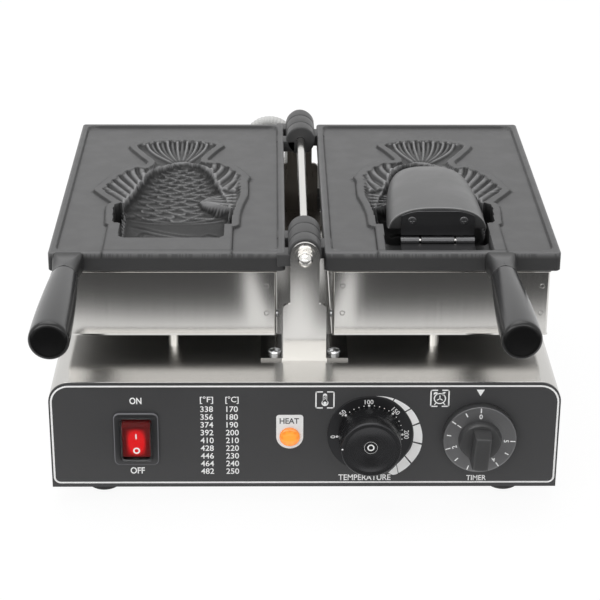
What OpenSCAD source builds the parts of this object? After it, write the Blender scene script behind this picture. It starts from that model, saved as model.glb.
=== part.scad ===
// Twin-plate waffle cone maker: heated book-type plates, fish-shaped mould and a lift-out mouth core.
// Millimetres. +X right, +Y back, +Z up. Origin: on the floor, on the hinge line, half way front to back.

/* [Base] */
// Width of the base box
base_w = 340; // [330:1:380]
// How far the base box reaches beyond the plates, front and back
base_margin = 40.5; // [38:0.5:60]
// Height of the base box, without its feet
base_h = 78; // [74:1:100]
// Radius of the two top corners of the base box
base_corner_r = 14; // [6:1:22]
// Thickness of the stainless shell
shell_t = 1.2; // [0.8:0.1:2]
// Thickness of the front control panel
panel_t = 1.5; // [1:0.1:3]
// Thickness of the rear panel
rear_t = 1.2; // [0.8:0.1:2.5]
// Thickness of the floor sheet
floor_t = 1.5; // [1:0.1:3]
// Width of a cooling slot in the rear panel
slot_w = 3; // [2:0.5:4]
// Height of a cooling slot in the rear panel
slot_h = 30; // [10:1:36]
// Diameter of the rear panel screws
panel_screw_d = 4; // [3:0.5:5]

/* [Feet] */
// Diameter of a rubber foot
foot_d = 26; // [20:1:36]
// Height of a rubber foot
foot_h = 12; // [10:0.5:20]
// Distance of a foot's centre from the side of the base
foot_inset_x = 33; // [24:1:60]
// Distance of a foot's centre from the front and back of the base
foot_inset_y = 26; // [24:1:60]
// Diameter of the screw through a foot
foot_screw_d = 4; // [3:0.5:5]

/* [Hinge] */
// Height of the hinge line above the top of the base
hinge_rise = 76.5; // [70:0.5:90]
// Diameter of the hinge rod
rod_d = 6; // [5:0.5:8]
// Gap between a plate's end and the bracket behind or in front of it
bracket_gap = 4; // [3.5:0.1:6]
// Thickness of the bracket sheet
bracket_t = 2.5; // [2:0.1:4]
// Width of the upper half of a bracket
bracket_top_w = 19.4; // [16:0.2:24]
// Width of the lower half of a bracket
bracket_low_w = 29; // [25:0.5:34]
// Height of the bracket's shoulder above the base
shoulder_h = 41.7; // [30:0.5:52]
// Radius of the bracket's shoulder
shoulder_r = 3.5; // [1:0.5:4.5]
// Width of a bracket's foot
bracket_foot_w = 59; // [56:0.5:70]
// Depth of a bracket's foot
bracket_foot_d = 38; // [20:0.5:44]
// Distance between the two screws of a bracket
bracket_screw_gap = 40; // [38:0.5:44]
// Distance of a bracket's screws behind its outer face
bracket_screw_y = 8; // [7:0.5:14]
// Diameter of the bracket screws
bracket_screw_d = 5; // [4:0.5:6]
// Diameter of the round knuckles on the plates
knuckle_d = 22; // [16:0.5:24]
// Width of the outermost knuckle at each end
knuckle_outer = 13; // [8:0.2:16]
// Width of the middle knuckle at each end
knuckle_mid = 16.2; // [8:0.2:20]
// Width of the innermost knuckle at each end
knuckle_inner = 13.3; // [8:0.2:16]
// Thickness of the hinge washers
washer_t = 1.1; // [0.8:0.1:2]
// Diameter of the hinge washers
washer_d = 14; // [12:0.5:16]
// Width across the flats of a cap nut
nut_af = 10; // [9:0.5:14]
// Length of the hexagon of a cap nut
nut_h = 6; // [4:0.5:8]

/* [Plates] */
// Distance from the hinge line to a plate's inner edge
plate_gap = 13; // [12.5:0.5:18]
// Width of a plate
plate_w = 157.5; // [156:0.5:180]
// Depth of a plate
plate_d = 262; // [258:1:264]
// Thickness of a plate at its edge
plate_t = 13.6; // [12:0.2:18]
// Radius of a plate's corners
plate_corner_r = 5; // [1:0.5:10]
// Width of the raised rim around a plate
rim_w = 4.5; // [3:0.5:8]
// Depth of the recessed field inside the rim
field_depth = 1.8; // [0.5:0.1:3]
// Gap left between the two plates when closed
close_gap = 0.3; // [0.2:0.1:1]
// How far the mould lies towards the hinge from the plate's middle
mould_shift = 1.4; // [0:0.2:6]
// Depth of the fins and the tail of the mould
fin_depth = 5.5; // [3:0.5:8]
// Thickness of metal under the mould
mould_wall = 5; // [3:0.5:8]

/* [Mouth core] */
// Half width of the core at its front face
core_half_w = 33.5; // [28:0.5:34]
// Half height of the core at its front face
core_half_h = 19.4; // [16:0.2:22]
// Thickness of the baked shell around the core
wafer_t = 5.5; // [3:0.5:6]
// Distance of the core's hinge behind the plate's front edge
core_hinge_y = 29; // [28:0.5:30]
// Depth of the core's hinge below the plate's top
core_hinge_z = 2.9; // [2.9:0.1:3.4]
// Radius of the core hinge's barrel
barrel_r = 2.6; // [2.2:0.1:2.6]
// Diameter of the core hinge's pin
core_pin_d = 2.5; // [2:0.1:2.8]
// Thickness of the core hinge's leaves
leaf_t = 1.5; // [1:0.1:1.8]
// Width of the core hinge's leaves
leaf_w = 50; // [44:1:54]
// Height of the upper leaf above the plate's top
leaf_up = 15; // [14:0.5:15]
// Distance between the two screws of a leaf
leaf_screw_gap = 35; // [30:1:40]
// Diameter of the leaf screws
leaf_screw_d = 3; // [2.5:0.5:3.5]

/* [Heater pans] */
// Distance from a plate's edge to the pan's side
pan_inset_x = 6; // [4:0.5:10]
// Distance from a plate's edge to the pan's front and back
pan_inset_y = 3; // [2:0.5:8]
// Height of the pans above the base
pan_rise = 14.6; // [10:0.2:16]
// Thickness of the pan sheet
pan_t = 1; // [0.8:0.1:1.6]
// Width of the folded flanges of a pan and its cover
pan_flange = 12; // [9:0.5:14]
// Diameter of the pan screws
pan_screw_d = 3; // [2.5:0.5:4]
// Diameter of the heating element's tube
element_d = 8; // [6:0.5:8.5]
// Distance from a pan's side to the nearer leg of its heating element
element_side = 16.75; // [13.75:0.25:18.75]
// Radius of the bends of a heating element
element_bend_r = 14; // [10:1:20]
// Thickness of the insulation
insulation_t = 18; // [8:1:20]
// Diameter of a rest post
post_d = 8; // [6:0.5:12]
// Distance of a rest post from the hinge line
post_x = 89; // [60:1:110]
// Distance of a rest post from the middle, front and back
post_y = 111; // [80:1:115]

/* [Handles] */
// Distance of the left grip from the outer edge of its plate
left_grip_side = 13.5; // [12.5:0.5:13.5]
// Distance of the right grip from the outer edge of its plate
right_grip_side = 40.5; // [40.5:0.5:50.5]
// Length of the cast boss in front of a plate
boss_l = 26; // [16:1:32]
// Length of a grip
grip_l = 97; // [70:1:120]
// Diameter of a grip at its neck
grip_neck_d = 18; // [14:0.5:20]
// Diameter of a grip at its end
grip_end_d = 25.5; // [22:0.1:25.6]
// Diameter of the stud that holds a grip
stud_d = 8; // [6:0.5:9]
// Length of the stud inside a grip
stud_in_grip = 50; // [30:1:60]

/* [Switch] */
// Distance of the switch from the left side of the panel
switch_side = 57.5; // [54:0.5:60]
// Height of the switch on the panel
switch_z = 37; // [32:0.5:40]
// Width of the switch's bezel
switch_w = 30; // [28:0.5:34]
// Height of the switch's bezel
switch_h = 39.2; // [38:0.2:44]
// Width of the rocker
rocker_w = 19; // [14:0.2:20.6]
// Radius of the rocker's ends about its pivot
rocker_r = 14.6; // [12:0.2:16]
// Travel of the rocker in degrees
rocker_travel = 16; // [10:1:20]
// Diameter of the rocker's pivot
rocker_pin_d = 3; // [2:0.5:4]

/* [Lamp] */
// Distance of the lamp left of the middle
lamp_x = 10.1; // [6:0.1:14]
// Height of the lamp on the panel
lamp_z = 38.4; // [30:0.2:44]
// Diameter of the lamp's lens
lamp_d = 13.6; // [10:0.2:15]
// Width of the lamp's label
label_w = 18; // [17.6:0.2:20]
// Height of the lamp's label above the lamp's centre
label_up = 16.2; // [14:0.2:20]

/* [Temperature control] */
// Distance of the temperature control right of the middle
temp_x = 43.3; // [36:0.1:48]
// Height of the temperature control on the panel
temp_z = 40; // [38:0.2:44]
// Diameter of the numbered dial behind the knob
temp_dial_d = 56.7; // [50:0.1:60]
// Diameter of the knob at its root
temp_knob_d = 42; // [34:0.5:46]
// Diameter of the knob at its face
temp_face_d = 39.6; // [30:0.2:44]
// How far the knob stands out of the panel
temp_reach = 22.6; // [16:0.2:28]

/* [Timer] */
// Distance of the timer from the right side of the panel
timer_side = 53.5; // [48:0.5:58]
// Height of the timer on the panel
timer_z = 39; // [36:0.5:44]
// Diameter of the timer's disc
timer_d = 49; // [44:0.5:54]
// How far the timer's disc stands out of the panel
timer_disc_reach = 7; // [5:0.5:9]
// Diameter of the hub under the grip bar
timer_hub_d = 29; // [24:0.5:34]
// Width of the grip bar
timer_bar_w = 11.8; // [8:0.2:14]
// How far the grip bar stands out of the panel
timer_reach = 25; // [20:0.5:30]
// Diameter of both control shafts
shaft_d = 6; // [5:0.5:6.5]

/* [Conduits] */
// Outer diameter of the flexible conduits
conduit_d = 10; // [8:0.5:11]
// Diameter of the conduit glands
gland_d = 16; // [14:0.5:18]
// Length of the conduit glands
gland_l = 14; // [12:0.5:16]
// How far the mains cable gland stands out of the back
mains_gland_l = 18; // [12:0.5:24]
// Diameter of the mains cable gland
mains_gland_d = 22; // [18:0.5:26]

/* [Hidden] */
$fn = 48;

fit = 0.05;          // radial clearance of a shaft or screw in its hole
run_gap = 0.2;       // side clearance between knuckles
part_gap = 0.3;      // clearance between pieces that move past each other
cut = 1;             // how far a cutter runs past a face
left = -1;
right = 1;

// Front to back: the grips reach furthest forward and the mains gland furthest back.
base_d = plate_d + 2 * base_margin;
bracket_span = plate_d + 2 * bracket_gap;
front_reach = grip_l + boss_l - base_margin;
y_front = -(base_d + mains_gland_l - front_reach) / 2;
y_back = y_front + base_d;
y_mid = y_front + base_d / 2;
switch_x = base_w / 2 - switch_side;
timer_x = base_w / 2 - timer_side;
// Heights above the floor
base_top = foot_h + base_h;
axle_z = base_top + hinge_rise;
plate_top = axle_z - close_gap / 2;
// Heights below a plate's top
pan_bottom = -(plate_top - base_top - pan_rise);
pan_w = plate_w - 2 * pan_inset_x;
pan_d = plate_d - 2 * pan_inset_y;
half_x = plate_gap + plate_w / 2;
mould_x = half_x - mould_shift;
left_grip_x = plate_gap + plate_w - left_grip_side;
right_grip_x = plate_gap + plate_w - right_grip_side;
element_gap = pan_w - 2 * element_side;
// Knuckles, measured inwards from a bracket's outer face
knuckle_1 = bracket_t + washer_t + run_gap;
knuckle_2 = knuckle_1 + knuckle_outer + run_gap;
knuckle_3 = knuckle_2 + knuckle_mid + run_gap;
rod_end = washer_t + nut_h;
bracket_foot_t = 2;
bracket_screw_l = 11;
bracket_nut_h = 4;
rod_recess = 0.5;    // how far the rod's end stays inside a cap nut's face
screw_head = 0.9;    // radius of a pan head as a share of its thread's diameter
// The core's hinge, in the mould's frame
core_front = core_hinge_y + barrel_r + part_gap;
pocket_floor = -(core_hinge_z + barrel_r + part_gap);
leaf_mid_w = leaf_w / 2;
leaf_screw_z = 10.7;
lower_screw_y = (core_hinge_y - barrel_r) / 2;
// Half width, half height and distance from the plate's front edge of the core's sections
core_sections = [[core_front, core_half_w, core_half_h], [60, core_half_w - 0.5, core_half_h - 0.4],
    [95, core_half_w - 2.5, core_half_h - 2], [120, core_half_w - 6, core_half_h - 4],
    [136, core_half_w - 11.5, core_half_h - 8.4], [146, core_half_w - 19, core_half_h - 13],
    [150.5, core_half_w - 28, core_half_h - 16]];
mouth_y = 51;        // where the neck of the mould opens into the body
cavity_sections = [[mouth_y, core_half_w + wafer_t, core_half_h + wafer_t],
    [85, core_half_w + wafer_t, core_half_h + wafer_t],
    [110, core_half_w + wafer_t - 4, core_half_h + wafer_t - 2],
    [135, core_half_w - 4, core_half_h], [158, core_half_w - 9, core_half_h - 4],
    [178, core_half_w - 18, core_half_h - 10]];
back_step_y = 140;   // where the casting's back narrows, and where it ends
back_end_y = 186;
neck_gap = 2.3;      // clearance of the core's front end in the neck
neck_front = core_hinge_y - barrel_r - neck_gap / 2;
neck_half_w = core_half_w + neck_gap;
neck_half_h = core_half_h + neck_gap / 2;
fish = [[-40, 50], [-41, 74], [-46, 106], [-47, 141], [-36, 158], [-15, 178], [-24, 208], [-10, 218],
    [5, 222], [20, 218], [33, 211], [18, 175], [35, 158], [53, 117], [43, 88], [40, 50]];
land = [[-41, 0], [-41, 40], [-46, 47], [-51, 95], [-54, 135], [-50, 148], [-40, 163], [-21, 184], [-31, 206],
    [-29, 213], [-12, 224], [5, 228], [22, 224], [37, 216], [39, 204], [26, 182], [41, 162], [58.5, 114],
    [49, 93], [46, 48], [41, 42], [41, 0]];
roundness = 2.6;     // power of the core's rounded-box sections; 2 would be an ellipse
ring_steps = 14;     // steps round half a section

grip_drop = plate_t / 2;
end_radius = 3;      // edge radius at a grip's end
bezel_t = 2;
bezel_lap = 4;       // how much wider the bezel is than the hole that it covers
bezel_r = 4;
switch_d = 27;       // depth of the switch behind the panel
rocker_axis_y = 5;   // depth of the rocker's pivot behind the panel face
rocker_face = 6.5;   // distance of the rocker's face in front of its pivot
rocker_dip = 8;      // slope of the rocker's two faces in degrees
rocker_back = 8;     // distance of the rocker's back behind its pivot
rocker_pin_l = 2;    // length of the pivot at each side of the rocker
boot_wall = 0.8;
boot_r = 3;
// Distance of the rocker's tips in front of its pivot, and how far the cover stands out of the panel
rocker_tip = rocker_face + tan(rocker_dip) * rocker_r;
boot_reach = rocker_tip + rocker_r * sin(rocker_travel / 2) - rocker_axis_y + part_gap + boot_wall;
dial_t = 1;
label_t = 0.4;
label_r = 2;
lens_t = 3.2;        // how far the lamp's lens stands out of the panel
lamp_neck = 9.6;     // diameter of the lamp's body
lamp_l = 24;
lamp_nut_h = 4;
shaft_in = 14;       // length of a control shaft behind the panel
shaft_short = 8;     // how far a control shaft ends inside its knob
shaft_hole = 10;     // diameter of the panel's hole round a control shaft
post_thread = 8;     // length of a rest post's thread under the base
gland_bore = conduit_d - 3;
gland_side = 34;     // distance of a pan's gland from the hinge line
gland_height = 48;   // height of a pan's gland above the base
base_gland_x = 14;
base_gland_y = 29;   // distance of a base gland behind the pans
mains_x = 85;        // distance of the mains gland left of the middle
panel_screw_z = [16, 56];
panel_screw_inset = 10;
pan_screw_y = 107;   // distance of a pan's outer side screws from its middle
pan_screw_l = 6;
// Routes of the conduits, from the pan's gland to the base: x, y from the pan's back, height above the base
left_route = [[-34, 14, 48], [-34, 22, 49], [-37, 29, 53], [-37, 32, 61], [-30, 33, 66.5], [-21, 33, 67.5],
    [-13, 32, 64], [-8, 31, 56], [-7, 30, 46], [-8, 29, 36], [-12, 29, 25], [-14, 29, 19], [-14, 29, 14]];
right_route = [[34, 14, 48], [35, 21, 49], [40, 28, 50], [49, 32, 47], [56, 33, 39], [57, 33, 29],
    [50, 32, 20], [40, 31, 19], [30, 30, 26], [21, 29.5, 31], [15.5, 29, 27], [14, 29, 20], [14, 29, 14]];
conduit_sides = 10;

// Frames
module from_middle() translate([0, y_mid, 0]) children();
module on_base() translate([0, y_mid, base_top]) children();
module on_panel(x, z) translate([x, y_front, foot_h + z]) children();
module at_rod() translate([0, y_mid, axle_z]) children();
// A half's frame: x out from the hinge line, y from the plate's middle, z from the plate's top
module half(side) translate([0, y_mid, plate_top]) mirror([side < 0 ? 1 : 0, 0, 0]) children();
// The mould's frame: x out from the mould's middle line, y from the plate's front edge
module mould(side) half(side) in_mould() children();
module in_mould() translate([mould_x, -plate_d / 2, 0]) children();
// An end's frame: y inwards from the outer face of the front or rear bracket
module end_frame(rear)
    mirror([0, rear ? 1 : 0, 0]) translate([0, -bracket_span / 2 - bracket_t, 0]) children();

// Shapes
module rod_y(d, y0, y1) translate([0, y0, 0]) rotate([-90, 0, 0]) cylinder(d = d, h = y1 - y0);
module rod_x(d, x0, x1) translate([x0, 0, 0]) rotate([0, 90, 0]) cylinder(d = d, h = x1 - x0);
module along_y(y0, y1) translate([0, y1, 0]) rotate([90, 0, 0]) linear_extrude(y1 - y0) children();
module box(x0, x1, y0, y1, z0, z1) translate([x0, y0, z0]) cube([x1 - x0, y1 - y0, z1 - z0]);
module round_rect(w, h, r) {
    square([w - 2 * r, h], center = true);
    square([w, h - 2 * r], center = true);
    for (x = [-1, 1], y = [-1, 1]) translate([x * (w / 2 - r), y * (h / 2 - r)]) circle(r);
}
// Outline of the base: square at the bottom, round at the two top corners
module base_outline(w, h, r) {
    translate([-w / 2, 0]) square([w, h - r]);
    translate([-w / 2 + r, 0]) square([w - 2 * r, h]);
    for (x = [-1, 1]) translate([x * (w / 2 - r), h - r]) circle(r);
}
// Closed skin through a list of rings that all have the same number of points
module skin(rings) {
    n = len(rings[0]);
    last = len(rings) - 1;
    polyhedron(
        points = [for (ring = rings) for (p = ring) p],
        faces = concat(
            [for (i = [0:last - 1]) for (j = [0:n - 1]) [i * n + j, i * n + (j + 1) % n, (i + 1) * n + j]],
            [for (i = [0:last - 1]) for (j = [0:n - 1])
                [i * n + (j + 1) % n, (i + 1) * n + (j + 1) % n, (i + 1) * n + j]],
            [[for (j = [n - 1:-1:0]) j]],
            [[for (j = [0:n - 1]) last * n + j]]));
}
function power(v, e) = v < 0 ? -pow(-v, e) : pow(v, e);
function oval(hw, hh, angle) = [hw * power(cos(angle), 2 / roundness), hh * power(sin(angle), 2 / roundness)];
function full_ring(s) = [for (i = [0:2 * ring_steps - 1])
    let (p = oval(s[1], s[2], 180 * i / ring_steps)) [p[0], s[0], p[1]]];
function trough_ring(s) = concat([[s[1], s[0], cut], [-s[1], s[0], cut]],
    [for (i = [0:ring_steps]) let (p = oval(s[1], s[2], 180 - 180 * i / ring_steps)) [p[0], s[0], -p[1]]]);
// Pan-head screw with its head's underside at z = 0 and its thread below
module pan_screw(d, l) {
    translate([0, 0, -l]) cylinder(d = d, h = l);
    intersection() {
        translate([0, 0, d * 0.65 - d * 1.3]) sphere(d * 1.3);
        cylinder(r = d * screw_head, h = d * 0.65);
    }
}
// Countersunk screw with its flat head at z = 0 and its thread below
module flush_screw(d, l) {
    translate([0, 0, -l]) cylinder(d = d, h = l);
    translate([0, 0, -d * 0.45]) cylinder(d1 = d, d2 = d * 1.9, h = d * 0.45);
}
module flush_hole(d, l) {
    translate([0, 0, -l]) cylinder(d = d + 2 * fit, h = l + cut);
    translate([0, 0, -d * 0.45]) cylinder(d1 = d + 2 * fit, d2 = d * 1.9 + 2 * fit, h = d * 0.45 + 0.001);
}

// Base
module bracket_screw_places()
    for (rear = [false, true]) end_frame(rear) for (x = [-1, 1])
        translate([x * bracket_screw_gap / 2, bracket_screw_y, 0]) children();
module post_places() for (x = [-1, 1], y = [-1, 1]) translate([x * post_x, y * post_y, 0]) children();
module base_gland_places()
    for (x = [-1, 1]) translate([x * base_gland_x, pan_d / 2 + base_gland_y, 0]) children();
module foot_places()
    for (x = [-1, 1], y = [-1, 1])
        translate([x * (base_w / 2 - foot_inset_x), y * (base_d / 2 - foot_inset_y), 0]) children();
module rear_screw_places()
    for (x = [-1, 1], z = panel_screw_z)
        translate([x * (base_w / 2 - panel_screw_inset), 0, foot_h + z]) children();

module base_shell() color("gainsboro") difference() {
    translate([0, 0, foot_h]) along_y(y_front + panel_t, y_back - rear_t)
        base_outline(base_w, base_h, base_corner_r);
    translate([0, 0, foot_h]) along_y(y_front, y_back) translate([0, -cut])
        base_outline(base_w - 2 * shell_t, base_h - shell_t + cut, max(base_corner_r - shell_t, 1));
    on_base() {
        bracket_screw_places() cylinder(d = bracket_screw_d + 2 * fit, h = 4 * shell_t, center = true);
        base_gland_places() cylinder(d = gland_bore + 2 * shell_t, h = 4 * shell_t, center = true);
        post_places() cylinder(d = post_d / 2 + 2 * fit, h = 4 * shell_t, center = true);
    }
}
module base_floor() color("darkgray") difference() {
    box(-base_w / 2 + shell_t, base_w / 2 - shell_t, y_front + panel_t, y_back - rear_t,
        foot_h, foot_h + floor_t);
    from_middle() foot_places() translate([0, 0, foot_h - cut])
        cylinder(d = foot_screw_d + 2 * fit, h = floor_t + 2 * cut);
}
module control_panel() color("dimgray") difference() {
    on_panel(0, 0) along_y(0, panel_t) base_outline(base_w, base_h, base_corner_r);
    on_panel(-switch_x, switch_z) along_y(-cut, panel_t + cut)
        square([switch_w - bezel_lap + 2 * fit, switch_h - bezel_lap + 2 * fit], center = true);
    on_panel(-lamp_x, lamp_z) rod_y(lamp_neck + 2 * fit, -cut, panel_t + cut);
    on_panel(temp_x, temp_z) rod_y(shaft_hole, -cut, panel_t + cut);
    on_panel(timer_x, timer_z) rod_y(shaft_hole, -cut, panel_t + cut);
}
module rear_panel() color("gainsboro") difference() {
    translate([0, 0, foot_h]) along_y(y_back - rear_t, y_back) base_outline(base_w, base_h, base_corner_r);
    for (i = [-5:5]) translate([60 + i * 3 * slot_w, 0, foot_h + base_h / 2])
        along_y(y_back - rear_t - cut, y_back + cut) square([slot_w, slot_h], center = true);
    mains_place() rod_y(mains_gland_d - 8 + 2 * fit, -rear_t - cut, cut);
    rear_screw_places() rod_y(panel_screw_d + 2 * fit, y_back - rear_t - cut, y_back + cut);
}
module rear_panel_screws() color("silver") rear_screw_places()
    translate([0, y_back, 0]) rotate([-90, 0, 0]) pan_screw(panel_screw_d, 10);
module rubber_feet() color("black") from_middle() foot_places() difference() {
    rotate_extrude() polygon(concat([[0, 0]],
        [for (a = [0:15:90]) [foot_d * 0.3 + foot_d * 0.2 * sin(a), foot_h * 0.55 * (1 - cos(a))]],
        [[foot_d / 2, foot_h], [0, foot_h]]));
    translate([0, 0, -cut]) cylinder(d = foot_screw_d + 2 * fit, h = foot_h + 2 * cut);
    translate([0, 0, -cut]) cylinder(r = foot_screw_d * screw_head + 0.5, h = foot_h / 2 + cut);
}
module foot_screws() color("silver") from_middle() foot_places()
    translate([0, 0, foot_h / 2]) rotate([180, 0, 0]) pan_screw(foot_screw_d, foot_h / 2 + floor_t + 5);

// Hinge
module bracket() difference() {
    union() {
        box(-bracket_foot_w / 2, bracket_foot_w / 2, 0, bracket_foot_d, 0, bracket_foot_t);
        along_y(0, bracket_t) {
            translate([-bracket_low_w / 2, 0]) square([bracket_low_w, shoulder_h - shoulder_r]);
            translate([-bracket_low_w / 2 + shoulder_r, 0])
                square([bracket_low_w - 2 * shoulder_r, shoulder_h]);
            for (x = [-1, 1]) translate([x * (bracket_low_w / 2 - shoulder_r), shoulder_h - shoulder_r])
                circle(shoulder_r);
            translate([-bracket_top_w / 2, 0]) square([bracket_top_w, hinge_rise]);
            translate([0, hinge_rise]) circle(d = bracket_top_w);
        }
    }
    translate([0, 0, hinge_rise]) rod_y(rod_d + 2 * fit, -cut, bracket_t + cut);
    for (x = [-1, 1]) translate([x * bracket_screw_gap / 2, bracket_screw_y, -cut])
        cylinder(d = bracket_screw_d + 2 * fit, h = bracket_t + 2 * cut);
}
module front_bracket() color("silver") on_base() end_frame(false) bracket();
module rear_bracket() color("silver") on_base() end_frame(true) bracket();
module bracket_screws() color("silver") on_base() bracket_screw_places() {
    translate([0, 0, bracket_foot_t]) pan_screw(bracket_screw_d, bracket_screw_l);
    translate([0, 0, -shell_t - bracket_nut_h]) difference() {
        cylinder(d = bracket_screw_d * 1.85, h = bracket_nut_h, $fn = 6);
        translate([0, 0, -cut]) cylinder(d = bracket_screw_d - 0.01, h = bracket_nut_h + 2 * cut);
    }
}
rod_half = bracket_span / 2 + bracket_t + rod_end - rod_recess;
module hinge_rod() color("gainsboro") at_rod() rod_y(rod_d, -rod_half, rod_half);
module cap_nuts() color("silver") at_rod() for (rear = [false, true]) end_frame(rear) difference() {
    translate([0, -rod_end, 0]) rotate([-90, 30, 0]) union() {
        cylinder(d = nut_af / cos(30), h = nut_h, $fn = 6);
        intersection() {
            translate([0, 0, 1]) sphere(d = nut_af * 0.95);
            translate([0, 0, -nut_af / 2]) cylinder(d = nut_af, h = nut_af / 2 + 1);
        }
    }
    rod_y(rod_d + 2 * fit, -rod_end + rod_recess, cut);
}
module hinge_washers() color("gainsboro") at_rod() for (rear = [false, true]) end_frame(rear) difference() {
    union() {
        rod_y(washer_d, bracket_t, bracket_t + washer_t);
        rod_y(washer_d, -washer_t, 0);
    }
    rod_y(rod_d + 2 * fit, -washer_t - cut, bracket_t + washer_t + cut);
}
module rest_posts() color("silver") on_base() post_places() {
    cylinder(d = post_d, h = pan_rise - part_gap);
    translate([0, 0, -shell_t - post_thread]) cylinder(d = post_d / 2, h = shell_t + post_thread + cut);
}

// Switch
module switch_housing() color("black") on_panel(-switch_x, switch_z) difference() {
    union() {
        along_y(-bezel_t, 0) round_rect(switch_w, switch_h, bezel_r);
        along_y(0, switch_d) square([switch_w - bezel_lap, switch_h - bezel_lap], center = true);
    }
    along_y(-bezel_t - cut, switch_d - 2 * bezel_t)
        square([rocker_w + 2 * part_gap, 2 * rocker_r + 2 * part_gap], center = true);
    translate([0, rocker_axis_y, 0])
        rod_x(rocker_pin_d + 2 * fit, -rocker_w / 2 - rocker_pin_l - fit, rocker_w / 2 + rocker_pin_l + fit);
}
// Rocker: two flat faces in a shallow V, its ends round about the pivot, tipped to the off side
module power_rocker() color("red") on_panel(-switch_x, switch_z) translate([0, rocker_axis_y, 0])
    rotate([rocker_travel / 2, 0, 0]) {
        intersection() {
            rotate([90, 0, 90]) translate([0, 0, -rocker_w / 2]) linear_extrude(rocker_w)
                polygon([[-rocker_face, 0], [-rocker_tip, rocker_r], [rocker_back / 2, rocker_r],
                    [rocker_back, 0], [rocker_back / 2, -rocker_r], [-rocker_tip, -rocker_r]]);
            rod_x(2 * rocker_r, -rocker_w / 2, rocker_w / 2);
        }
        rod_x(rocker_pin_d, -rocker_w / 2 - rocker_pin_l, rocker_w / 2 + rocker_pin_l);
    }
module switch_boot() color("lightgray", 0.4) on_panel(-switch_x, switch_z) difference() {
    along_y(-boot_reach, -bezel_t)
        round_rect(rocker_w + 2 * part_gap + 2 * boot_wall, 2 * (rocker_r + part_gap + boot_wall), boot_r);
    along_y(-boot_reach + boot_wall, -bezel_t + cut)
        round_rect(rocker_w + 2 * part_gap, 2 * (rocker_r + part_gap), boot_r - boot_wall);
}

// Lamp
module lamp_label() color("white") on_panel(-lamp_x, lamp_z) difference() {
    along_y(-label_t, 0) {
        translate([-label_w / 2, 0]) square([label_w, label_up - label_r]);
        translate([-label_w / 2 + label_r, 0]) square([label_w - 2 * label_r, label_up]);
        for (x = [-1, 1]) translate([x * (label_w / 2 - label_r), label_up - label_r]) circle(label_r);
        circle(d = label_w);
    }
    rod_y(lamp_neck + 2 * fit, -cut, cut);
}
module lamp_lens() color("orange", 0.8) on_panel(-lamp_x, lamp_z) intersection() {
    translate([0, lamp_d - lens_t, 0]) sphere(lamp_d);
    rod_y(lamp_d, -lens_t - cut, -label_t);
}
module lamp_body() color("white") on_panel(-lamp_x, lamp_z) {
    rod_y(lamp_neck, -label_t, lamp_l);
    difference() {
        rod_y(lamp_neck + 5, panel_t, panel_t + lamp_nut_h);
        rod_y(lamp_neck - 0.02, panel_t - cut, panel_t + lamp_nut_h + cut);
    }
}

// Temperature control
module temperature_dial() color("black") on_panel(temp_x, temp_z) difference() {
    rod_y(temp_dial_d, -dial_t, 0);
    rod_y(shaft_hole, -dial_t - cut, cut);
}
module temperature_knob() color("black") on_panel(temp_x, temp_z) difference() {
    rotate([90, 0, 0]) translate([0, 0, dial_t + part_gap])
        cylinder(d1 = temp_knob_d, d2 = temp_face_d, h = temp_reach - dial_t - part_gap);
    translate([0, -temp_reach - temp_face_d * 0.9, 0]) sphere(temp_face_d);
    rod_y(shaft_d + 2 * fit, -temp_reach + shaft_short, 0);
}
module control_shaft(reach) rod_y(shaft_d, -reach + shaft_short, shaft_in);
module control_body(w, h, d) difference() {
    along_y(panel_t, panel_t + d) square([w, h], center = true);
    rod_y(shaft_d + 2 * fit, 0, shaft_in);
}
module thermostat_shaft() color("silver") on_panel(temp_x, temp_z) control_shaft(temp_reach);
module thermostat() color("tan") on_panel(temp_x, temp_z) control_body(44, 36, 32);

// Timer
module timer_knob() color("black") on_panel(timer_x, timer_z) difference() {
    union() {
        rod_y(timer_d, -timer_disc_reach, -part_gap);
        rotate([90, 0, 0]) translate([0, 0, timer_disc_reach])
            cylinder(d1 = timer_hub_d, d2 = timer_hub_d - 3, h = 5);
        rotate([0, 3.6, 0]) intersection() {
            along_y(-timer_reach, -timer_disc_reach) translate([-timer_bar_w / 2, -timer_hub_d / 2])
                square([timer_bar_w, timer_hub_d * 0.87]);
            rod_y(timer_hub_d + 1.5, -timer_reach - cut, 0);
        }
    }
    rod_y(shaft_d + 2 * fit, -timer_reach + shaft_short, cut);
}
module timer_shaft() color("silver") on_panel(timer_x, timer_z) control_shaft(timer_reach);
module timer_movement() color("gray") on_panel(timer_x, timer_z) difference() {
    rod_y(48, panel_t, panel_t + 34);
    rod_y(shaft_d + 2 * fit, 0, shaft_in);
}

// Electrics
module terminal_block() color("ivory") on_panel(20, floor_t) {
    difference() {
        box(-36, 36, base_d / 2, base_d / 2 + 22, 0, 16);
        for (i = [-2.5:2.5]) translate([i * 12, base_d / 2 + 11, 6]) cylinder(d = 5, h = 12);
    }
}
module mains_place() translate([-mains_x, y_back, foot_h + base_h / 2]) children();
module mains_gland() color("black") mains_place() difference() {
    union() {
        rod_y(mains_gland_d, 0, mains_gland_l * 0.45);
        rod_y(mains_gland_d - 3, mains_gland_l * 0.45, mains_gland_l);
        rod_y(mains_gland_d - 8, -12, 0);
    }
    rod_y(mains_gland_d - 13, -12 - cut, mains_gland_l + cut);
}
module base_glands() color("black") on_base() base_gland_places() difference() {
    union() {
        cylinder(d = gland_d, h = gland_l * 0.5);
        cylinder(d = gland_d - 2, h = gland_l);
        translate([0, 0, -10]) cylinder(d = gland_bore + 2 * shell_t - 2 * fit, h = 10);
    }
    translate([0, 0, -10 - cut]) cylinder(d = gland_bore, h = gland_l + 10 + 2 * cut);
}
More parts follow.
